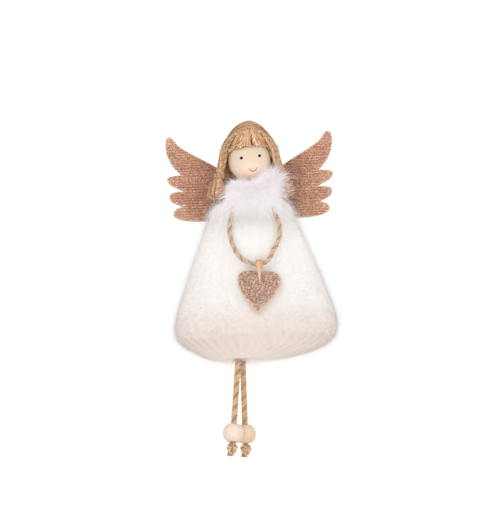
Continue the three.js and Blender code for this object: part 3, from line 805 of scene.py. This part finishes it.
# The fringe: short ends of the same yarn, glued in two rows under the front of the hank and
# combed to both sides of a small parting above the brow.
PARTING, BROW = 0.12, 5.1
FRINGE_YARN = dict(
    plies=2, ply_radius=0.00042, wind_radius=0.00036, pitch=0.0046, step=0.0005, sides=6, slack=0.7,
)
# The fringe is the hank's flax painted lighter: painted light on the front of the hair.
light_flax = yarn_finish("light_flax", shade(174, 120, 80), shade(238, 197, 154), shade(255, 236, 206), 1.6)
rng = np.random.default_rng(27)
fringe_yarns = []
for row, count in ((0, 23), (1, 21)):
    for place in np.linspace(-1, 1, count):
        lean = place + rng.normal(0, 0.03)
        lean = lean + 0.06 * math.copysign(1, lean - PARTING) * math.exp(-abs(lean - PARTING) * 9)
        brow = BROW + 0.9 * lean + rng.normal(0, 0.6) + 0.4 * row
        foot = np.array([12.5 * math.sin(1.15 * lean) / math.sin(1.15), 0, brow])
        foot[1] = -math.sqrt(max(2, (13.5 + 0.5 * row) ** 2 - foot[0] ** 2 - foot[2] ** 2))
        line = [
            (2.6 * lean, -6.2, 16.2),
            (4.6 * lean, -9.7 - 0.7 * row + 1.6 * lean**2, 14.8 - 1.2 * lean**2),
            (7.9 * lean, -12.3 - 0.8 * row + 4.2 * lean**2, 11.8 - 1.6 * lean**2),
            (10.8 * lean, foot[1] - 0.7 + 0.5 * lean**2, 4.95 + 0.55 * brow - lean**2),
            foot,
        ]
        fringe_yarns.append(smooth_line(np.array(line) + rng.normal(0, 0.16, (5, 3)), 0.8))
fringe = spun("hair_fringe_yarn", fringe_yarns, seed=37, finish=light_flax, **FRINGE_YARN)
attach(fringe, "head")
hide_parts("hair_fringe")


# The dress: one bell of white plush knit, closed round the neck and drawn in underneath to the
# small opening that the legs come out of. Its pile is short, soft and combed downwards.
# Each row of its outline has a height, a half width, a half depth and the middle's shift.
DRESS_ROWS = np.array([
    (-22.6, 6.5, 5, 0, 0), (-23.2, 13, 7.4, 0, 0), (-25, 19.5, 9.2, 0, 0), (-28.5, 23.6, 10.9, 0, 0),
    (-37.5, 26.5, 13, 0, 0), (-47, 30.6, 14.8, 0, 0), (-56.5, 34.4, 16.5, 0, 0), (-66, 37.9, 18.2, 0, 0),
    (-75.5, 41.2, 19.75, 0, 0), (-85, 44.5, 21.4, 0, 0), (-94, 46.8, 22.95, 0, 0), (-98, 47.3, 23.5, 0, 0),
    (-102, 46.6, 23.4, 0, 0), (-105.8, 44.8, 22.55, 0, 0), (-111.8, 36.4, 18.4, 0, 0),
    (-116.2, 25.2, 12.8, -3.5, -0.9), (-118.2, 14.6, 8.6, -7.2, -2.6), (-118.5, 5.2, 5.2, -9.95, -4),
])
DRESS_RINGS, DRESS_SIDES, KNIT_COLUMNS = 126, 216, 36
PILE_ROOM, DRESS_THICKNESS, WIDTH_TO_DEPTH = 0.9, 2.0, 1.98
PILE_SPANS = ((0, 52), (51, 71), (70, 96), (95, DRESS_RINGS))
PILE_DENSITY, RIM_FIBRES = 2.6e6, 420


def dress_rings(inset, rows, sides, last=len(DRESS_ROWS)):
    """Rings of points on the dress from the neck down to a row of its outline, set in by inset."""
    outline = smooth_line(DRESS_ROWS[:last], 0.4)
    run = np.concatenate([[0], np.cumsum(np.hypot(*np.diff(outline[:, :2], axis=0).T))])
    picks = np.linspace(0, run[-1], rows)
    outline = np.stack([np.interp(picks, run, column) for column in outline.T], axis=1)
    lean = np.gradient(outline, axis=0)
    slope = np.hypot(lean[:, 0], lean[:, 1])
    falls, grows = (lean[:, :2] / slope[:, None]).T[..., None]
    angles = np.arange(sides) * 2 * math.pi / sides
    height, wide, deep, aside, behind = outline.T[..., None]
    inset = np.broadcast_to(inset(angles, height) if callable(inset) else inset, (rows, sides))
    across = aside + (wide + falls * inset) * np.cos(angles)
    back = behind + (deep + falls * inset) * np.sin(angles)
    return np.stack([across, back, height - grows * inset], axis=2)


def area_of(rings):
    """The area of a sheet through rings of points, in square metres."""
    across, down = np.roll(rings[:-1], -1, axis=1) - rings[:-1], rings[1:] - rings[:-1]
    return float(np.linalg.norm(np.cross(across, down), axis=2).sum()) / 1e6


def pile_tree():
    """Sets tapered bent fibres on a surface, longer where its reach is greater."""
    wire, given = new_tree(
        "pile", "Surface", "Fibres", density="Float", length="Float", thinness="Float", bend="Float",
        comb="Vector", spread="Float", parts="Int", corners="Int", seed="Int", finish="Material",
    )
    seed = given.also("Seed")
    reach = wire.make("GeometryNodeInputNamedAttribute", {"data_type": "FLOAT"}, {"Name": "reach"})
    sown = {0: given.also("Surface"), "Density": given.also("Density"), "Seed": seed}
    roots = wire.make("GeometryNodeDistributePointsOnFaces", sockets=sown)
    limits = {0: (-1, -1, -1), 1: (1, 1, 1), "Seed": seed + 1}
    astray = wire.make("FunctionNodeRandomValue", {"data_type": "FLOAT_VECTOR"}, limits)
    way = wire.vector("ADD", roots.also("Normal"), given.also("Comb"))
    way = wire.vector("ADD", way, astray.scaled(given.also("Spread")))
    stand = wire.make("FunctionNodeAlignRotationToVector", {"axis": "Z"}, {"Vector": way})
    turn = {"Axis": (0, 0, 1), "Angle": wire.chance(seed + 2) * (2 * math.pi)}
    turn = {"Rotation": stand, "Rotate By": wire.make("FunctionNodeAxisAngleToRotation", sockets=turn)}
    stand = wire.make("FunctionNodeRotateRotation", {"rotation_space": "LOCAL"}, turn)
    tone = wire.chance(seed + 3)
    cone = {"Vertices": given.also("Corners"), "Side Segments": given.also("Parts"), "Radius Top": 0.0}
    cone.update({"Radius Bottom": given.also("Thinness"), "Depth": 1.0})
    fibre = wire.make("GeometryNodeMeshCone", sockets=cone)
    height = wire.make("GeometryNodeInputPosition").axis("Z")
    sway = wire.make("ShaderNodeCombineXYZ", sockets={"X": height * height * given.also("Bend")})
    fibre = wire.make("GeometryNodeSetPosition", sockets={"Geometry": fibre, "Offset": sway})
    fibre = fibre.store("tip", height)
    size = given.also("Length") * reach * (0.55 + 0.65 * tone)
    growth = {"Points": roots, "Instance": fibre, "Rotation": stand, "Scale": size}
    grown = wire.make("GeometryNodeInstanceOnPoints", sockets=growth).store("tone", tone, domain="INSTANCE")
    return end_tree(wire, grown, given)


def fibre_finish(name, root, tip, through, painted_glow):
    """Soft white fibre: some light goes through it, and a painted glow stands in for the light that passes on
    from fibre to fibre.
    """
    material, wire, shader = finish(
        name, roughness=0.95, specular_ior_level=0.1, sheen_weight=0.2, emission_strength=painted_glow
    )
    height, tone, low, under = (wire.kept(name) for name in ("tip", "tone", "low", "under"))
    # Fibres are painted darker towards the root: painted shade deep in the pile.
    colour = (height.step(0.0, 0.75) * (0.7 + 0.3 * tone)).between(root, tip)
    # Where marked low they are painted darker and warmer: painted shade on the dress's underside.
    colour = low.between(colour, shade(225, 215, 210))
    # Where marked under they glow nearly three times as much: painted light in the shadowed opening under the
    # dress.
    lay_on(shader, base_color=colour, emission_color=colour.scaled(1 + 1.9 * under))
    thin = wire.make("ShaderNodeBsdfTranslucent", sockets={"Color": colour})
    parts = {0: through, 1: Wire(wire.tree, shader.outputs[0]), 2: thin}
    both = wire.make("ShaderNodeMixShader", sockets=parts)
    wire.tree.links.new(both.socket, wire.tree.nodes["Material Output"].inputs["Surface"])
    return material


def gathers(angles, height):
    """How far the plush is pressed in between its knit columns and soft folds."""
    fall = np.clip((-30 - height) / 80, 0, 1)
    folds = 0.5 * np.sin(5 * angles + 0.6) + 0.35 * np.sin(9 * angles + 2.1) + 0.25 * np.sin(14 * angles)
    under = np.clip((-96 - height) / 18, 0, 1)
    under = under * under * (3 - 2 * under)
    pressed = PILE_ROOM + (0.06 + 0.2 * under) * np.cos(KNIT_COLUMNS * angles)
    return pressed + fall * (1 - 0.7 * under) * (0.35 + 0.5 * folds)


def pile_ground(rings, **values):
    """Rings of points as a ground for pile, with the values that its fibres need."""
    ground = skin("ground", at(rings.reshape(-1, 3)), ring_faces(*rings.shape[:2]))
    mark(ground, **values)
    return ground


# The plush glows a little in its own colour: painted light that keeps it and the gaps between its fibres from
# going dark.
plush_base, wire, shader = finish(
    "plush_knit", specular_ior_level=0.15, sheen_weight=0.4, sheen_roughness=0.5, emission_strength=0.045
)
place = wire.place()
bearing = wire.sum("ARCTAN2", place.axis("Y") * WIDTH_TO_DEPTH, place.axis("X"))
ribs = wire.sum("SINE", bearing * KNIT_COLUMNS) * 0.5 + 0.5
nap, cloud = wire.noise(place, 1500.0, 3.0), wire.noise(place, 70.0, 2.0)
# Towards the bottom the plush is painted darker and a little pinker: painted shade on its underside.
tint = (1 - place.axis("Z").step(-0.128, -0.1)).between(shade(248, 246, 244), shade(228, 215, 207))
# Between the knit ribs it is painted a little darker, painted shade in the grooves; the cloud is the plush's
# own uneven colour.
colour = (cloud * 0.2 + (1 - ribs) * 0.1).between(tint, shade(236, 228, 224))
ridges = (nap * 0.6 + ribs * 0.3).bump(0.25, 0.0004)
lay_on(shader, base_color=colour, emission_color=colour, roughness=0.85 + nap * 0.15, normal=ridges)
# The pile glows a little, as painted light, and is painted a touch darker at its roots, as painted shade.
plush_pile = fibre_finish("plush_pile", shade(247, 244, 242), shade(251, 249, 248), 0.4, 0.15)

dress_outside = dress_rings(gathers, DRESS_RINGS, DRESS_SIDES)
dress_inside = dress_rings(DRESS_THICKNESS, DRESS_RINGS, DRESS_SIDES)
wall = np.concatenate([dress_outside, dress_inside[::-1]])
wall_faces = ring_faces(*wall.shape[:2], closed=True)
dress = put("plush_dress", skin("plush_dress", at(wall.reshape(-1, 3)), wall_faces, plush_base))
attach(dress, "torso")
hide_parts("dress")
area_of(dress_outside)

PILE = pile_tree()
PLUSH = dict(bend=0.5, parts=2, corners=3, finish=plush_pile)
pile_pieces = []
for number, (first, last) in enumerate(PILE_SPANS):
    rings = dress_outside[first:last]
    height, row = rings[..., 2], np.arange(first, last)[:, None] + 0 * rings[..., 2]
    tall = 1 + 0.6 * np.exp(-((row - 22) / 8) ** 2) - 0.35 * np.clip((row - 88) / 12, 0, 1)
    tall = tall + 0.8 * np.clip((row - 118) / 5, 0, 1)
    # low marks where the pile is painted darker, painted shade on the underside, eased off on the flat
    # bottom; under marks where it glows more, painted light round the opening.
    low = np.clip((-55 - height) / 60, 0, 1) * (1 - 0.8 * np.clip((-114 - height) / 4, 0, 1))
    ground = pile_ground(rings, reach=tall, low=low, under=np.clip((-115.5 - height) / 1.8, 0, 1))
    pile_pieces.append(settle(
        f"plush_pile_{number + 1}", ground, PILE, density=PILE_DENSITY, length=0.0032, thinness=0.012,
        comb=(0, 0, -0.5), spread=0.6, seed=40 + 10 * number, **PLUSH,
    ))
# The rim's pile is painted a little darker and glows fully: painted light in the opening.
rim_rings = dress_rings(1.0, DRESS_RINGS, DRESS_SIDES)[-3:]
rim_ground = pile_ground(rim_rings, reach=1, low=0.2, under=1)
pile_pieces.append(settle(
    "plush_pile_rim", rim_ground, PILE, density=RIM_FIBRES / area_of(rim_rings), length=0.0028,
    thinness=0.014, comb=(0, 0, 0), spread=1.1, seed=77, **PLUSH,
))
for piece in pile_pieces:
    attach(piece, "torso")


# The filling: loose white fibre that stuffs the dress, and under it the knot of twine that
# both legs hang from.
FILL_INSET, FILL_LAST_ROW, FILL_DROP = 2.7, 15, 1.5
HIP_MIDDLE = (-9.95, -4, -114.85)


def lumps(points, size, seed):
    """Soft uneven swelling over points, between about -1 and 1."""
    rng = np.random.default_rng(seed)
    total = np.zeros(points.shape[:-1])
    for _ in range(9):
        total += np.sin(points @ (rng.normal(0, 1, 3) / size) + rng.uniform(0, 6.28))
    return total / 4.5


fill_rings = dress_rings(FILL_INSET, 60, 96, FILL_LAST_ROW)
top, base = fill_rings[0].mean(axis=0), fill_rings[-1]
closing = [
    base * (share, share, 0) + (0, 0, base[:, 2].mean() - FILL_DROP + rise)
    for share, rise in ((0.9, 0.9), (0.75, 0.35), (0.5, 0), (0.25, 0))
]
fill_rings = np.concatenate([fill_rings[:1] * (0.3, 0.3, 1), fill_rings, closing])
fill_rings[:, :, :2] *= 1 + 0.012 * lumps(fill_rings, 3.0, 51)[..., None]
rows, sides, _ = fill_rings.shape
end, last = rows * sides, (rows - 1) * sides
faces = ring_faces(rows, sides)
faces += [(end, i, (i + 1) % sides) for i in range(sides)]
faces += [(end + 1, last + (i + 1) % sides, last + i) for i in range(sides)]
points = np.vstack([fill_rings.reshape(-1, 3), top, fill_rings[-1].mean(axis=0)])
fibre_fill, wire, shader = finish("fibre_fill", specular_ior_level=0.1, sheen_weight=0.4)
tangle = wire.noise(wire.place(), 420.0, 5.0, distortion=2.5)
colour = tangle.between(shade(226, 222, 214), shade(250, 248, 244))
lay_on(shader, base_color=colour, roughness=0.85 + tangle * 0.15, normal=tangle.bump(0.8, 0.0006))
filling = put("filling", skin("filling", at(points), faces, fibre_fill))
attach(filling, "torso")
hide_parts("dress_stuffing")

hip_line = overhand(0.95, 1.6, -1.6) * (1, 1.05, 0.5) + HIP_MIDDLE
hips = spun("hip_knot_twine", [smooth_line(hip_line, 0.5)], seed=14, finish=jute, **TWINE)
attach(hips, "torso")
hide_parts("hip_knot")


# The wings: one flat shape with four feathers a side, cut from ribbed glitter cloth on a felt
# backing and glued to the back of the dress. The cut edge shows paler.
WING_TOP_EDGE = [
    (0, -13), (8, -11), (14, -6), (19.7, -0.5), (32.5, 7.3), (38.4, 11), (41.2, 13.4), (43, 15.8),
]
WING_FEATHERS = [
    ((46.7, 20.9), (48.1, 16.4), (49.6, 9.5), (46, 1), (39.4, -4.7)),
    ((47.6, -4.3), (48, -6.6), (48.4, -9.6), (43.8, -11.4), (38, -14.3)),
    ((46.4, -13.9), (47.1, -16.6), (47.5, -20.1), (43, -21.9), (39, -23.2)),
    ((44.6, -24), (45.2, -27), (45.6, -30.6), (37, -32.2), (30.3, -32.2)),
]
WING_FRONT, WING_SEAM, WING_BACK = 12.335, 13.235, 14.435
WING_CLOTH, CLOTH_ROOM, FELT_ROOM = 0.8, 0.12, 0.08
RIB_PITCH, RIB_DEPTH = 1.6, 0.16
ROLL_WIDTH, ROLL_DEPTH = 0.7, 0.2
WING_AREA, WING_FLAKES = 2.7e-3, 9000


def bent(points, count=14):
    """Points along a curve pulled by the given points, without the first."""
    t = np.linspace(0, 1, count + 1)[1:, None]
    points = [np.asarray(point, float) for point in points]
    while len(points) > 1:
        points = [a * (1 - t) + b * t for a, b in zip(points, points[1:])]
    return points[0]


def both_sides(half):
    """A whole outline from its right half, which starts and ends on the middle line."""
    return np.vstack([half, (half[1:-1] * (-1, 1))[::-1]])[::-1]


def cut_sheet(name, outline, gap, thickness, relief, place, material):
    """A flat sheet cut to an outline. Its face stands out by relief and rolls over at the rim."""
    low, high = outline.min(axis=0), outline.max(axis=0)
    across, upward = np.arange(low[0], high[0], gap), np.arange(low[1], high[1], gap)
    grid = np.stack(np.meshgrid(across, upward), axis=-1).reshape(-1, 2)
    grid = grid + 0.15 * gap * np.sin(grid[:, ::-1] * 7.3)
    x, y = grid.T
    x0, y0 = outline.T[..., None]
    x1, y1 = np.roll(outline, -1, axis=0).T[..., None]
    where = x0 + (y - y0) / (y1 - y0 + 1e-9) * (x1 - x0)
    inside = (((y0 > y) != (y1 > y)) & (x < where)).sum(axis=0) % 2 == 1
    rim = np.hypot(x0 - x, y0 - y).min(axis=0)
    keep = inside & (rim > 0.55 * gap)
    flat = np.vstack([outline, grid[keep]])
    rim = np.concatenate([np.zeros(len(outline)), rim[keep]])
    rolled = ROLL_DEPTH * np.clip(1 - rim / ROLL_WIDTH, 0, 1) ** 2
    corners = list(range(len(outline)))
    _, _, triangles, *_ = delaunay_2d_cdt([Vector(p) for p in flat], [], [corners], 1, 1e-7)
    count = len(flat)
    front = np.column_stack([flat, rolled - relief(*flat.T)])
    back = np.column_stack([flat, np.full(count, thickness)])
    faces = [tuple(f) for f in triangles] + [tuple(count + i for i in f[::-1]) for f in triangles]
    faces += [(a, count + a, count + b, b) for a, b in zip(corners, corners[1:] + corners[:1])]
    mesh = skin(name, at(place(np.vstack([front, back]))), faces, material)
    # Paler at the cut edge and further from the sheet's middle.
    worn = np.exp(-rim / ROLL_WIDTH) + np.clip((np.hypot(*flat.T) - 28) / 34, -0.25, 0.6)
    mark(mesh, worn=np.tile(worn, 2))
    mesh.set_sharp_from_angle(angle=math.radians(50))
    return put(name, mesh)


def only_face(mesh):
    """A copy of the front of a cut sheet, for the flakes to lie on."""
    count = len(mesh.vertices) // 2
    front = [tuple(p.vertices) for p in mesh.polygons if max(p.vertices) < count]
    ground = skin("ground", [v.co[:] for v in mesh.vertices[:count]], front)
    mark(ground, reach=1)
    return ground


def glitter_finish(name, dark, middle, light, glint_colour, rows):
    """Cloth woven in rows and set with tiny metal grains of uneven colour, paler at its rim."""
    material, wire, shader = finish(name, specular_ior_level=0.4)
    place, worn = wire.place(), wire.kept("worn")
    grains = wire.make("ShaderNodeTexVoronoi", {"feature": "F1"}, {"Vector": place, "Scale": 2300.0}, "Color")
    pick = wire.make("ShaderNodeSeparateColor", sockets={0: grains})
    bright = pick.also("Green")
    wear, cloud = wire.noise(place, 220.0, 3.0), wire.noise(place, 70.0, 2.0)
    row = wire.sum("COSINE", (place.axis("Z") + wear * 0.0004) * (2 * math.pi / rows))
    outer = wire.sum("ABSOLUTE", place.axis("X")).step(0.014, 0.044)
    amount = pick * 0.62 + wear * 0.4 + row * 0.12 + worn * 0.3
    amount = amount + cloud.step(0.3, 0.7) * 0.16 + outer * 0.08 - 0.35
    # The palest stop is painted glints: single grains painted near white, partly real pale metal grains.
    colour = amount.ramp((0.12, dark), (0.45, middle), (0.75, light), (0.98, glint_colour))
    lay_on(
        shader, base_color=(outer * 0.2).between(colour, light), roughness=0.62 - bright * 0.3,
        metallic=bright.step(0.45, 0.9) * 0.5, normal=(pick + bright).bump(0.5, 0.0002),
    )
    return material


def flake_finish(name, dark, middle, light, glint_colour):
    """Loose metal flakes, each with its own colour."""
    material, wire, shader = finish(name, metallic=0.85, roughness=0.35)
    tone = wire.kept("tone")
    # The palest flakes are painted near white: painted glints on top of their real metal reflection.
    colour = tone.ramp((0.1, dark), (0.45, middle), (0.8, light), (0.95, glint_colour))
    lay_on(shader, base_color=colour, roughness=0.25 + tone * 0.25)
    return material


def felt_finish(name, pale, deep):
    """Pressed felt: short tangled fibres, a little uneven in colour."""
    material, wire, shader = finish(name, specular_ior_level=0.1, sheen_weight=0.3)
    place = wire.place()
    tangle = wire.noise(place, 1700.0, 4.0, distortion=3.0)
    fibre = wire.noise(place, 520.0, 5.0, distortion=6.0)
    cloud = wire.noise(place, 110.0, 3.0)
    mixed = tangle * 0.3 + fibre.step(0.3, 0.7) * 0.4 + cloud.step(0.25, 0.75) * 0.3
    ridges = (tangle + fibre).bump(0.8, 0.0004)
    lay_on(shader, base_color=mixed.between(deep, pale), roughness=0.8 + tangle * 0.2, normal=ridges)
    return material


half = list(smooth_line(WING_TOP_EDGE))
for to_tip, tip, outer, inner, notch in WING_FEATHERS:
    half += [*bent([half[-1], to_tip, tip]), *bent([tip, outer, inner, notch], 18)]
half += list(bent([half[-1], (15, -32.6), (0, -33)]))
wing_outline = both_sides(np.array(half))
# The last colour is the painted glint colour of the grains.
copper_cloth = glitter_finish(
    "copper_cloth", shade(134, 83, 59), shade(189, 136, 108), shade(225, 179, 150), shade(250, 228, 208),
    RIB_PITCH / 1000,
)
copper_flake = flake_finish(
    "copper_flake", shade(138, 87, 65), shade(193, 142, 114), shade(228, 186, 157), shade(247, 225, 206)
)
wing_felt = felt_finish("wing_felt", shade(224, 196, 170), shade(196, 160, 132))
wing_face = cut_sheet(
    "wings_cloth", wing_outline, 0.4, WING_CLOTH,
    lambda x, z: RIB_DEPTH * np.cos(2 * math.pi * (z - HEAD_DROP) / RIB_PITCH),
    lambda p: np.column_stack([p[:, 0], WING_FRONT + CLOTH_ROOM + p[:, 2], p[:, 1]]), copper_cloth,
)
wing_felting = cut_sheet(
    "wings_felt", wing_outline[::-1] * (-1, 1), 1.6, WING_BACK - WING_SEAM,
    lambda x, z: 0.08 * np.sin(1.3 * x) * np.sin(1.1 * z),
    lambda p: np.column_stack([-p[:, 0], WING_BACK - FELT_ROOM - p[:, 2], p[:, 1]]), wing_felt,
)
FLAKE = dict(bend=0.0, comb=(0, 0, 0.1), parts=1, corners=5)
wing_flakes = settle(
    "wings_glitter", only_face(wing_face.data), PILE, density=WING_FLAKES / WING_AREA, length=0.00016,
    thinness=1.7, spread=0.55, seed=71, finish=copper_flake, **FLAKE,
)
for piece in (wing_face, wing_felting, wing_flakes):
    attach(piece, "torso")
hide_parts("wings_face")
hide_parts("wings_backing")


# The heart: a plump piece of pale felt faced with finer rose glitter. It hangs by its notch from
# the loop's tie and leans on the front of the dress.
HEART_PLACE = np.array(
    Matrix.Translation((3, -19.5, -72.2)) @ Matrix.Rotation(math.radians(79.8), 4, "X")
    @ Matrix.Rotation(math.radians(-5.5), 4, "Z")
)
HEART_HALF_WIDTH, HEART_TIP, HEART_RISE, HEART_SHOULDER = 12.5, -24, 2, -1.44
HEART_FELT, FELT_TOP, HEART_CLOTH, CLOTH_TOP, CLOTH_INSET = 2.2, 2.15, 0.7, 2.95, 0.55
HEART_WEAVE = 0.0013
HEART_AREA, HEART_FLAKES = 3.6e-4, 2300


def heart_outline(inset):
    wide, tip, rise = HEART_HALF_WIDTH - inset, HEART_TIP + 1.6 * inset, HEART_RISE - inset
    notch, shoulder = (0, -inset), (0.95 * wide, HEART_SHOULDER)
    lobe = bent([notch, (0.16 * wide, 1.5 * rise), (0.8 * wide, 1.6 * rise), shoulder], 22)
    flank = bent([shoulder, (1.14 * wide, 0.24 * tip), (0.72 * wide, 0.6 * tip), (0, tip)], 34)
    return both_sides(np.vstack([[notch], lobe, flank]))


def on_heart(top):
    """Puts a flat sheet's points on the leaning heart, with its face at a height over the back."""
    turn, shift = HEART_PLACE[:3, :3].T, HEART_PLACE[:3, 3]
    return lambda p: np.column_stack([p[:, 0], p[:, 1], top - p[:, 2]]) @ turn + shift


# The last colour is the painted glint colour of the grains.
rose_cloth = glitter_finish(
    "rose_cloth", shade(154, 107, 90), shade(214, 166, 143), shade(246, 212, 192), shade(255, 246, 236),
    HEART_WEAVE,
)
rose_flake = flake_finish(
    "rose_flake", shade(142, 98, 80), shade(214, 166, 143), shade(249, 219, 201), shade(255, 252, 246)
)
heart_felt = felt_finish("heart_felt", shade(250, 232, 208), shade(232, 204, 174))
heart_back = cut_sheet(
    "heart_felt", heart_outline(0), 0.9, HEART_FELT, lambda x, y: 0.05 * np.sin(2 * x) * np.sin(1.7 * y),
    on_heart(FELT_TOP), heart_felt,
)
heart_front = cut_sheet(
    "heart_cloth", heart_outline(CLOTH_INSET), 0.5, HEART_CLOTH,
    lambda x, y: 0.05 * np.sin(4.1 * x) * np.sin(3.7 * y), on_heart(CLOTH_TOP), rose_cloth,
)
heart_flakes = settle(
    "heart_glitter", only_face(heart_front.data), PILE, density=HEART_FLAKES / HEART_AREA, length=0.00019,
    thinness=1.6, spread=0.6, seed=75, finish=rose_flake, **FLAKE,
)
for piece in (heart_back, heart_front, heart_flakes):
    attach(piece, "heart")
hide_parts("heart_backing")
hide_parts("heart_face")


# The heart's tie: soft peach thread wound round the loop. Its ends come down together over the
# notch and are glued to the heart's face.
TIE_MIDDLE = np.array([3, -21.3, -65.8])
TIE_HALF_WIDTH, WIND_RADIUS = 1.7, 2.05
THREAD = dict(
    plies=2, ply_radius=0.00028, wind_radius=0.00024, pitch=0.0026, step=0.0004, sides=7, slack=0.4,
)
peach = yarn_finish("peach_thread", shade(206, 160, 124), shade(236, 198, 166), shade(253, 230, 206))
angles = np.linspace(0.5 * math.pi, 2 * math.pi * 4.25, 120)
along = np.linspace(-TIE_HALF_WIDTH, TIE_HALF_WIDTH, 120)
threads = [np.stack([along, -WIND_RADIUS * np.cos(angles), WIND_RADIUS * np.sin(angles)], axis=1)]
for start, drop in ((-1.6, 8.2), (-0.6, 9.6), (0.5, 10.8), (1.6, 8.6)):
    end = [
        (start, -2.1, 0.4), (0.72 * start, -2.6, -2), (0.4 * start, -2.8, -4.8), (0.3 * start, -2.75, -drop),
    ]
    threads.append(smooth_line(end, 0.5))
tie = spun("heart_tie_thread", [thread + TIE_MIDDLE for thread in threads], seed=81, finish=peach, **THREAD)
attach(tie, "heart_knot")
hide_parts("heart_tie")


# The collar: a boa of white down wound once round the neck. The chin sinks into it, and on one
# side it stands up along the cheek.
COLLAR_REACH, COLLAR_HALF_WIDTH, COLLAR_HALF_HEIGHT, COLLAR_DEPTH = 9.2, 3.5, 4.6, 0.83
COLLAR_MIDDLE = -17.2
FRONT_SHARE = 0.35
DOWN_FIBRES, FRONT_FIBRES = 5600, 36000
DOWN_LAYERS = (
    (1, 0.0066, (0.1, -0.2, 0.05)),
    (2, 0.0066, (-0.06, -0.3, -0.3)),
    (3, 0.0078, (0, -0.3, -0.9)),
)
# Both down finishes glow a little, painted light that keeps the dense down from going grey, and are painted a
# touch darker at the roots, painted shade deep in the down.
down_core = fibre_finish("down_core", shade(248, 244, 246), shade(252, 249, 250), 0.0, 0.16)
down_fur = fibre_finish("down_fur", shade(248, 243, 245), shade(254, 251, 252), 0.1, 0.19)
turns, sections = 120, 44
turn = np.arange(turns)[:, None] * 2 * math.pi / turns
round_it = np.arange(sections)[None, :] * 2 * math.pi / sections
upward, outward = np.sin(round_it), np.cos(round_it)


def swelling(at_turn, width):
    """1 at one turn round the neck, falling away to both sides of it."""
    away = np.angle(np.exp(1j * (turn - math.radians(at_turn))))
    return np.exp(-((away / math.radians(width)) ** 2))


def clipped(value):
    return np.clip(value, 0, 1)


tuft, throat, front = swelling(-24, 26), swelling(-96, 52), swelling(-93, 54)
reach = COLLAR_REACH + 3.4 * tuft
lift = COLLAR_MIDDLE - 2.7 * throat + 4.2 * tuft + 1.6 * swelling(90, 70)
middle = np.stack([reach * np.cos(turn), COLLAR_DEPTH * reach * np.sin(turn), lift], axis=2)
out = COLLAR_HALF_WIDTH * outward
rise = (COLLAR_HALF_HEIGHT + 0.8 * tuft) * upward + 1.4 * clipped(-outward)
boa = np.stack([out * np.cos(turn), COLLAR_DEPTH * out * np.sin(turn), rise], axis=2)
boa = middle + boa * (1 + 0.1 * lumps(middle + boa, 2.6, 61))[..., None]
at_chin = 0.55 * clipped(upward - 0.35 * outward) * (1 - 0.7 * tuft - 0.3 * throat)
length = 1 - at_chin - 0.6 * clipped(0.25 - outward)
longer = 1 + 0.35 * clipped(outward - upward) + 0.2 * tuft
length = np.maximum(length, 0.15 + 0.35 * clipped(upward)) * longer
length = length * (1 + 0.3 * lumps(boa, 1.5, 62))
length = length * (1 - 0.85 * swelling(90, 60)) * (1 - 0.55 * swelling(183, 38))
boa_points, boa_faces = at(boa.reshape(-1, 3)), ring_faces(turns, sections, closed=True)
core_mesh = skin("collar_core", boa_points, boa_faces, down_core)
mark(core_mesh, reach=length, tip=0.8, tone=0.6)
core = put("collar_core", core_mesh)
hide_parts("fur_collar")
collar_area = sum(p.area for p in core_mesh.polygons)
down = [
    settle(
        f"collar_down_{number}", core_mesh.copy(), PILE, density=DOWN_FIBRES / collar_area, length=long,
        thinness=0.009, bend=0.3 * number, comb=comb, spread=0.75, parts=3, corners=3, seed=60 + number,
        finish=down_fur,
    )
    for number, long, comb in DOWN_LAYERS
]
in_front = (front > FRONT_SHARE) & (upward > -0.9) & (upward < 0.3) & (outward > 0.3)
bib_mesh = skin("ground", boa_points, [face for face in boa_faces if in_front.ravel()[face[0]]])
mark(bib_mesh, reach=length * (1 + 0.35 * swelling(-125, 22) + 0.6 * swelling(-60, 20)))
down.append(settle(
    "collar_down_front", bib_mesh, PILE, density=FRONT_FIBRES / collar_area, length=0.0104, thinness=0.007,
    bend=-0.4, comb=(0, -0.45, -1.7), spread=0.6, parts=3, corners=3, seed=66, finish=down_fur,
))
for piece in (core, *down):
    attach(piece, "torso")
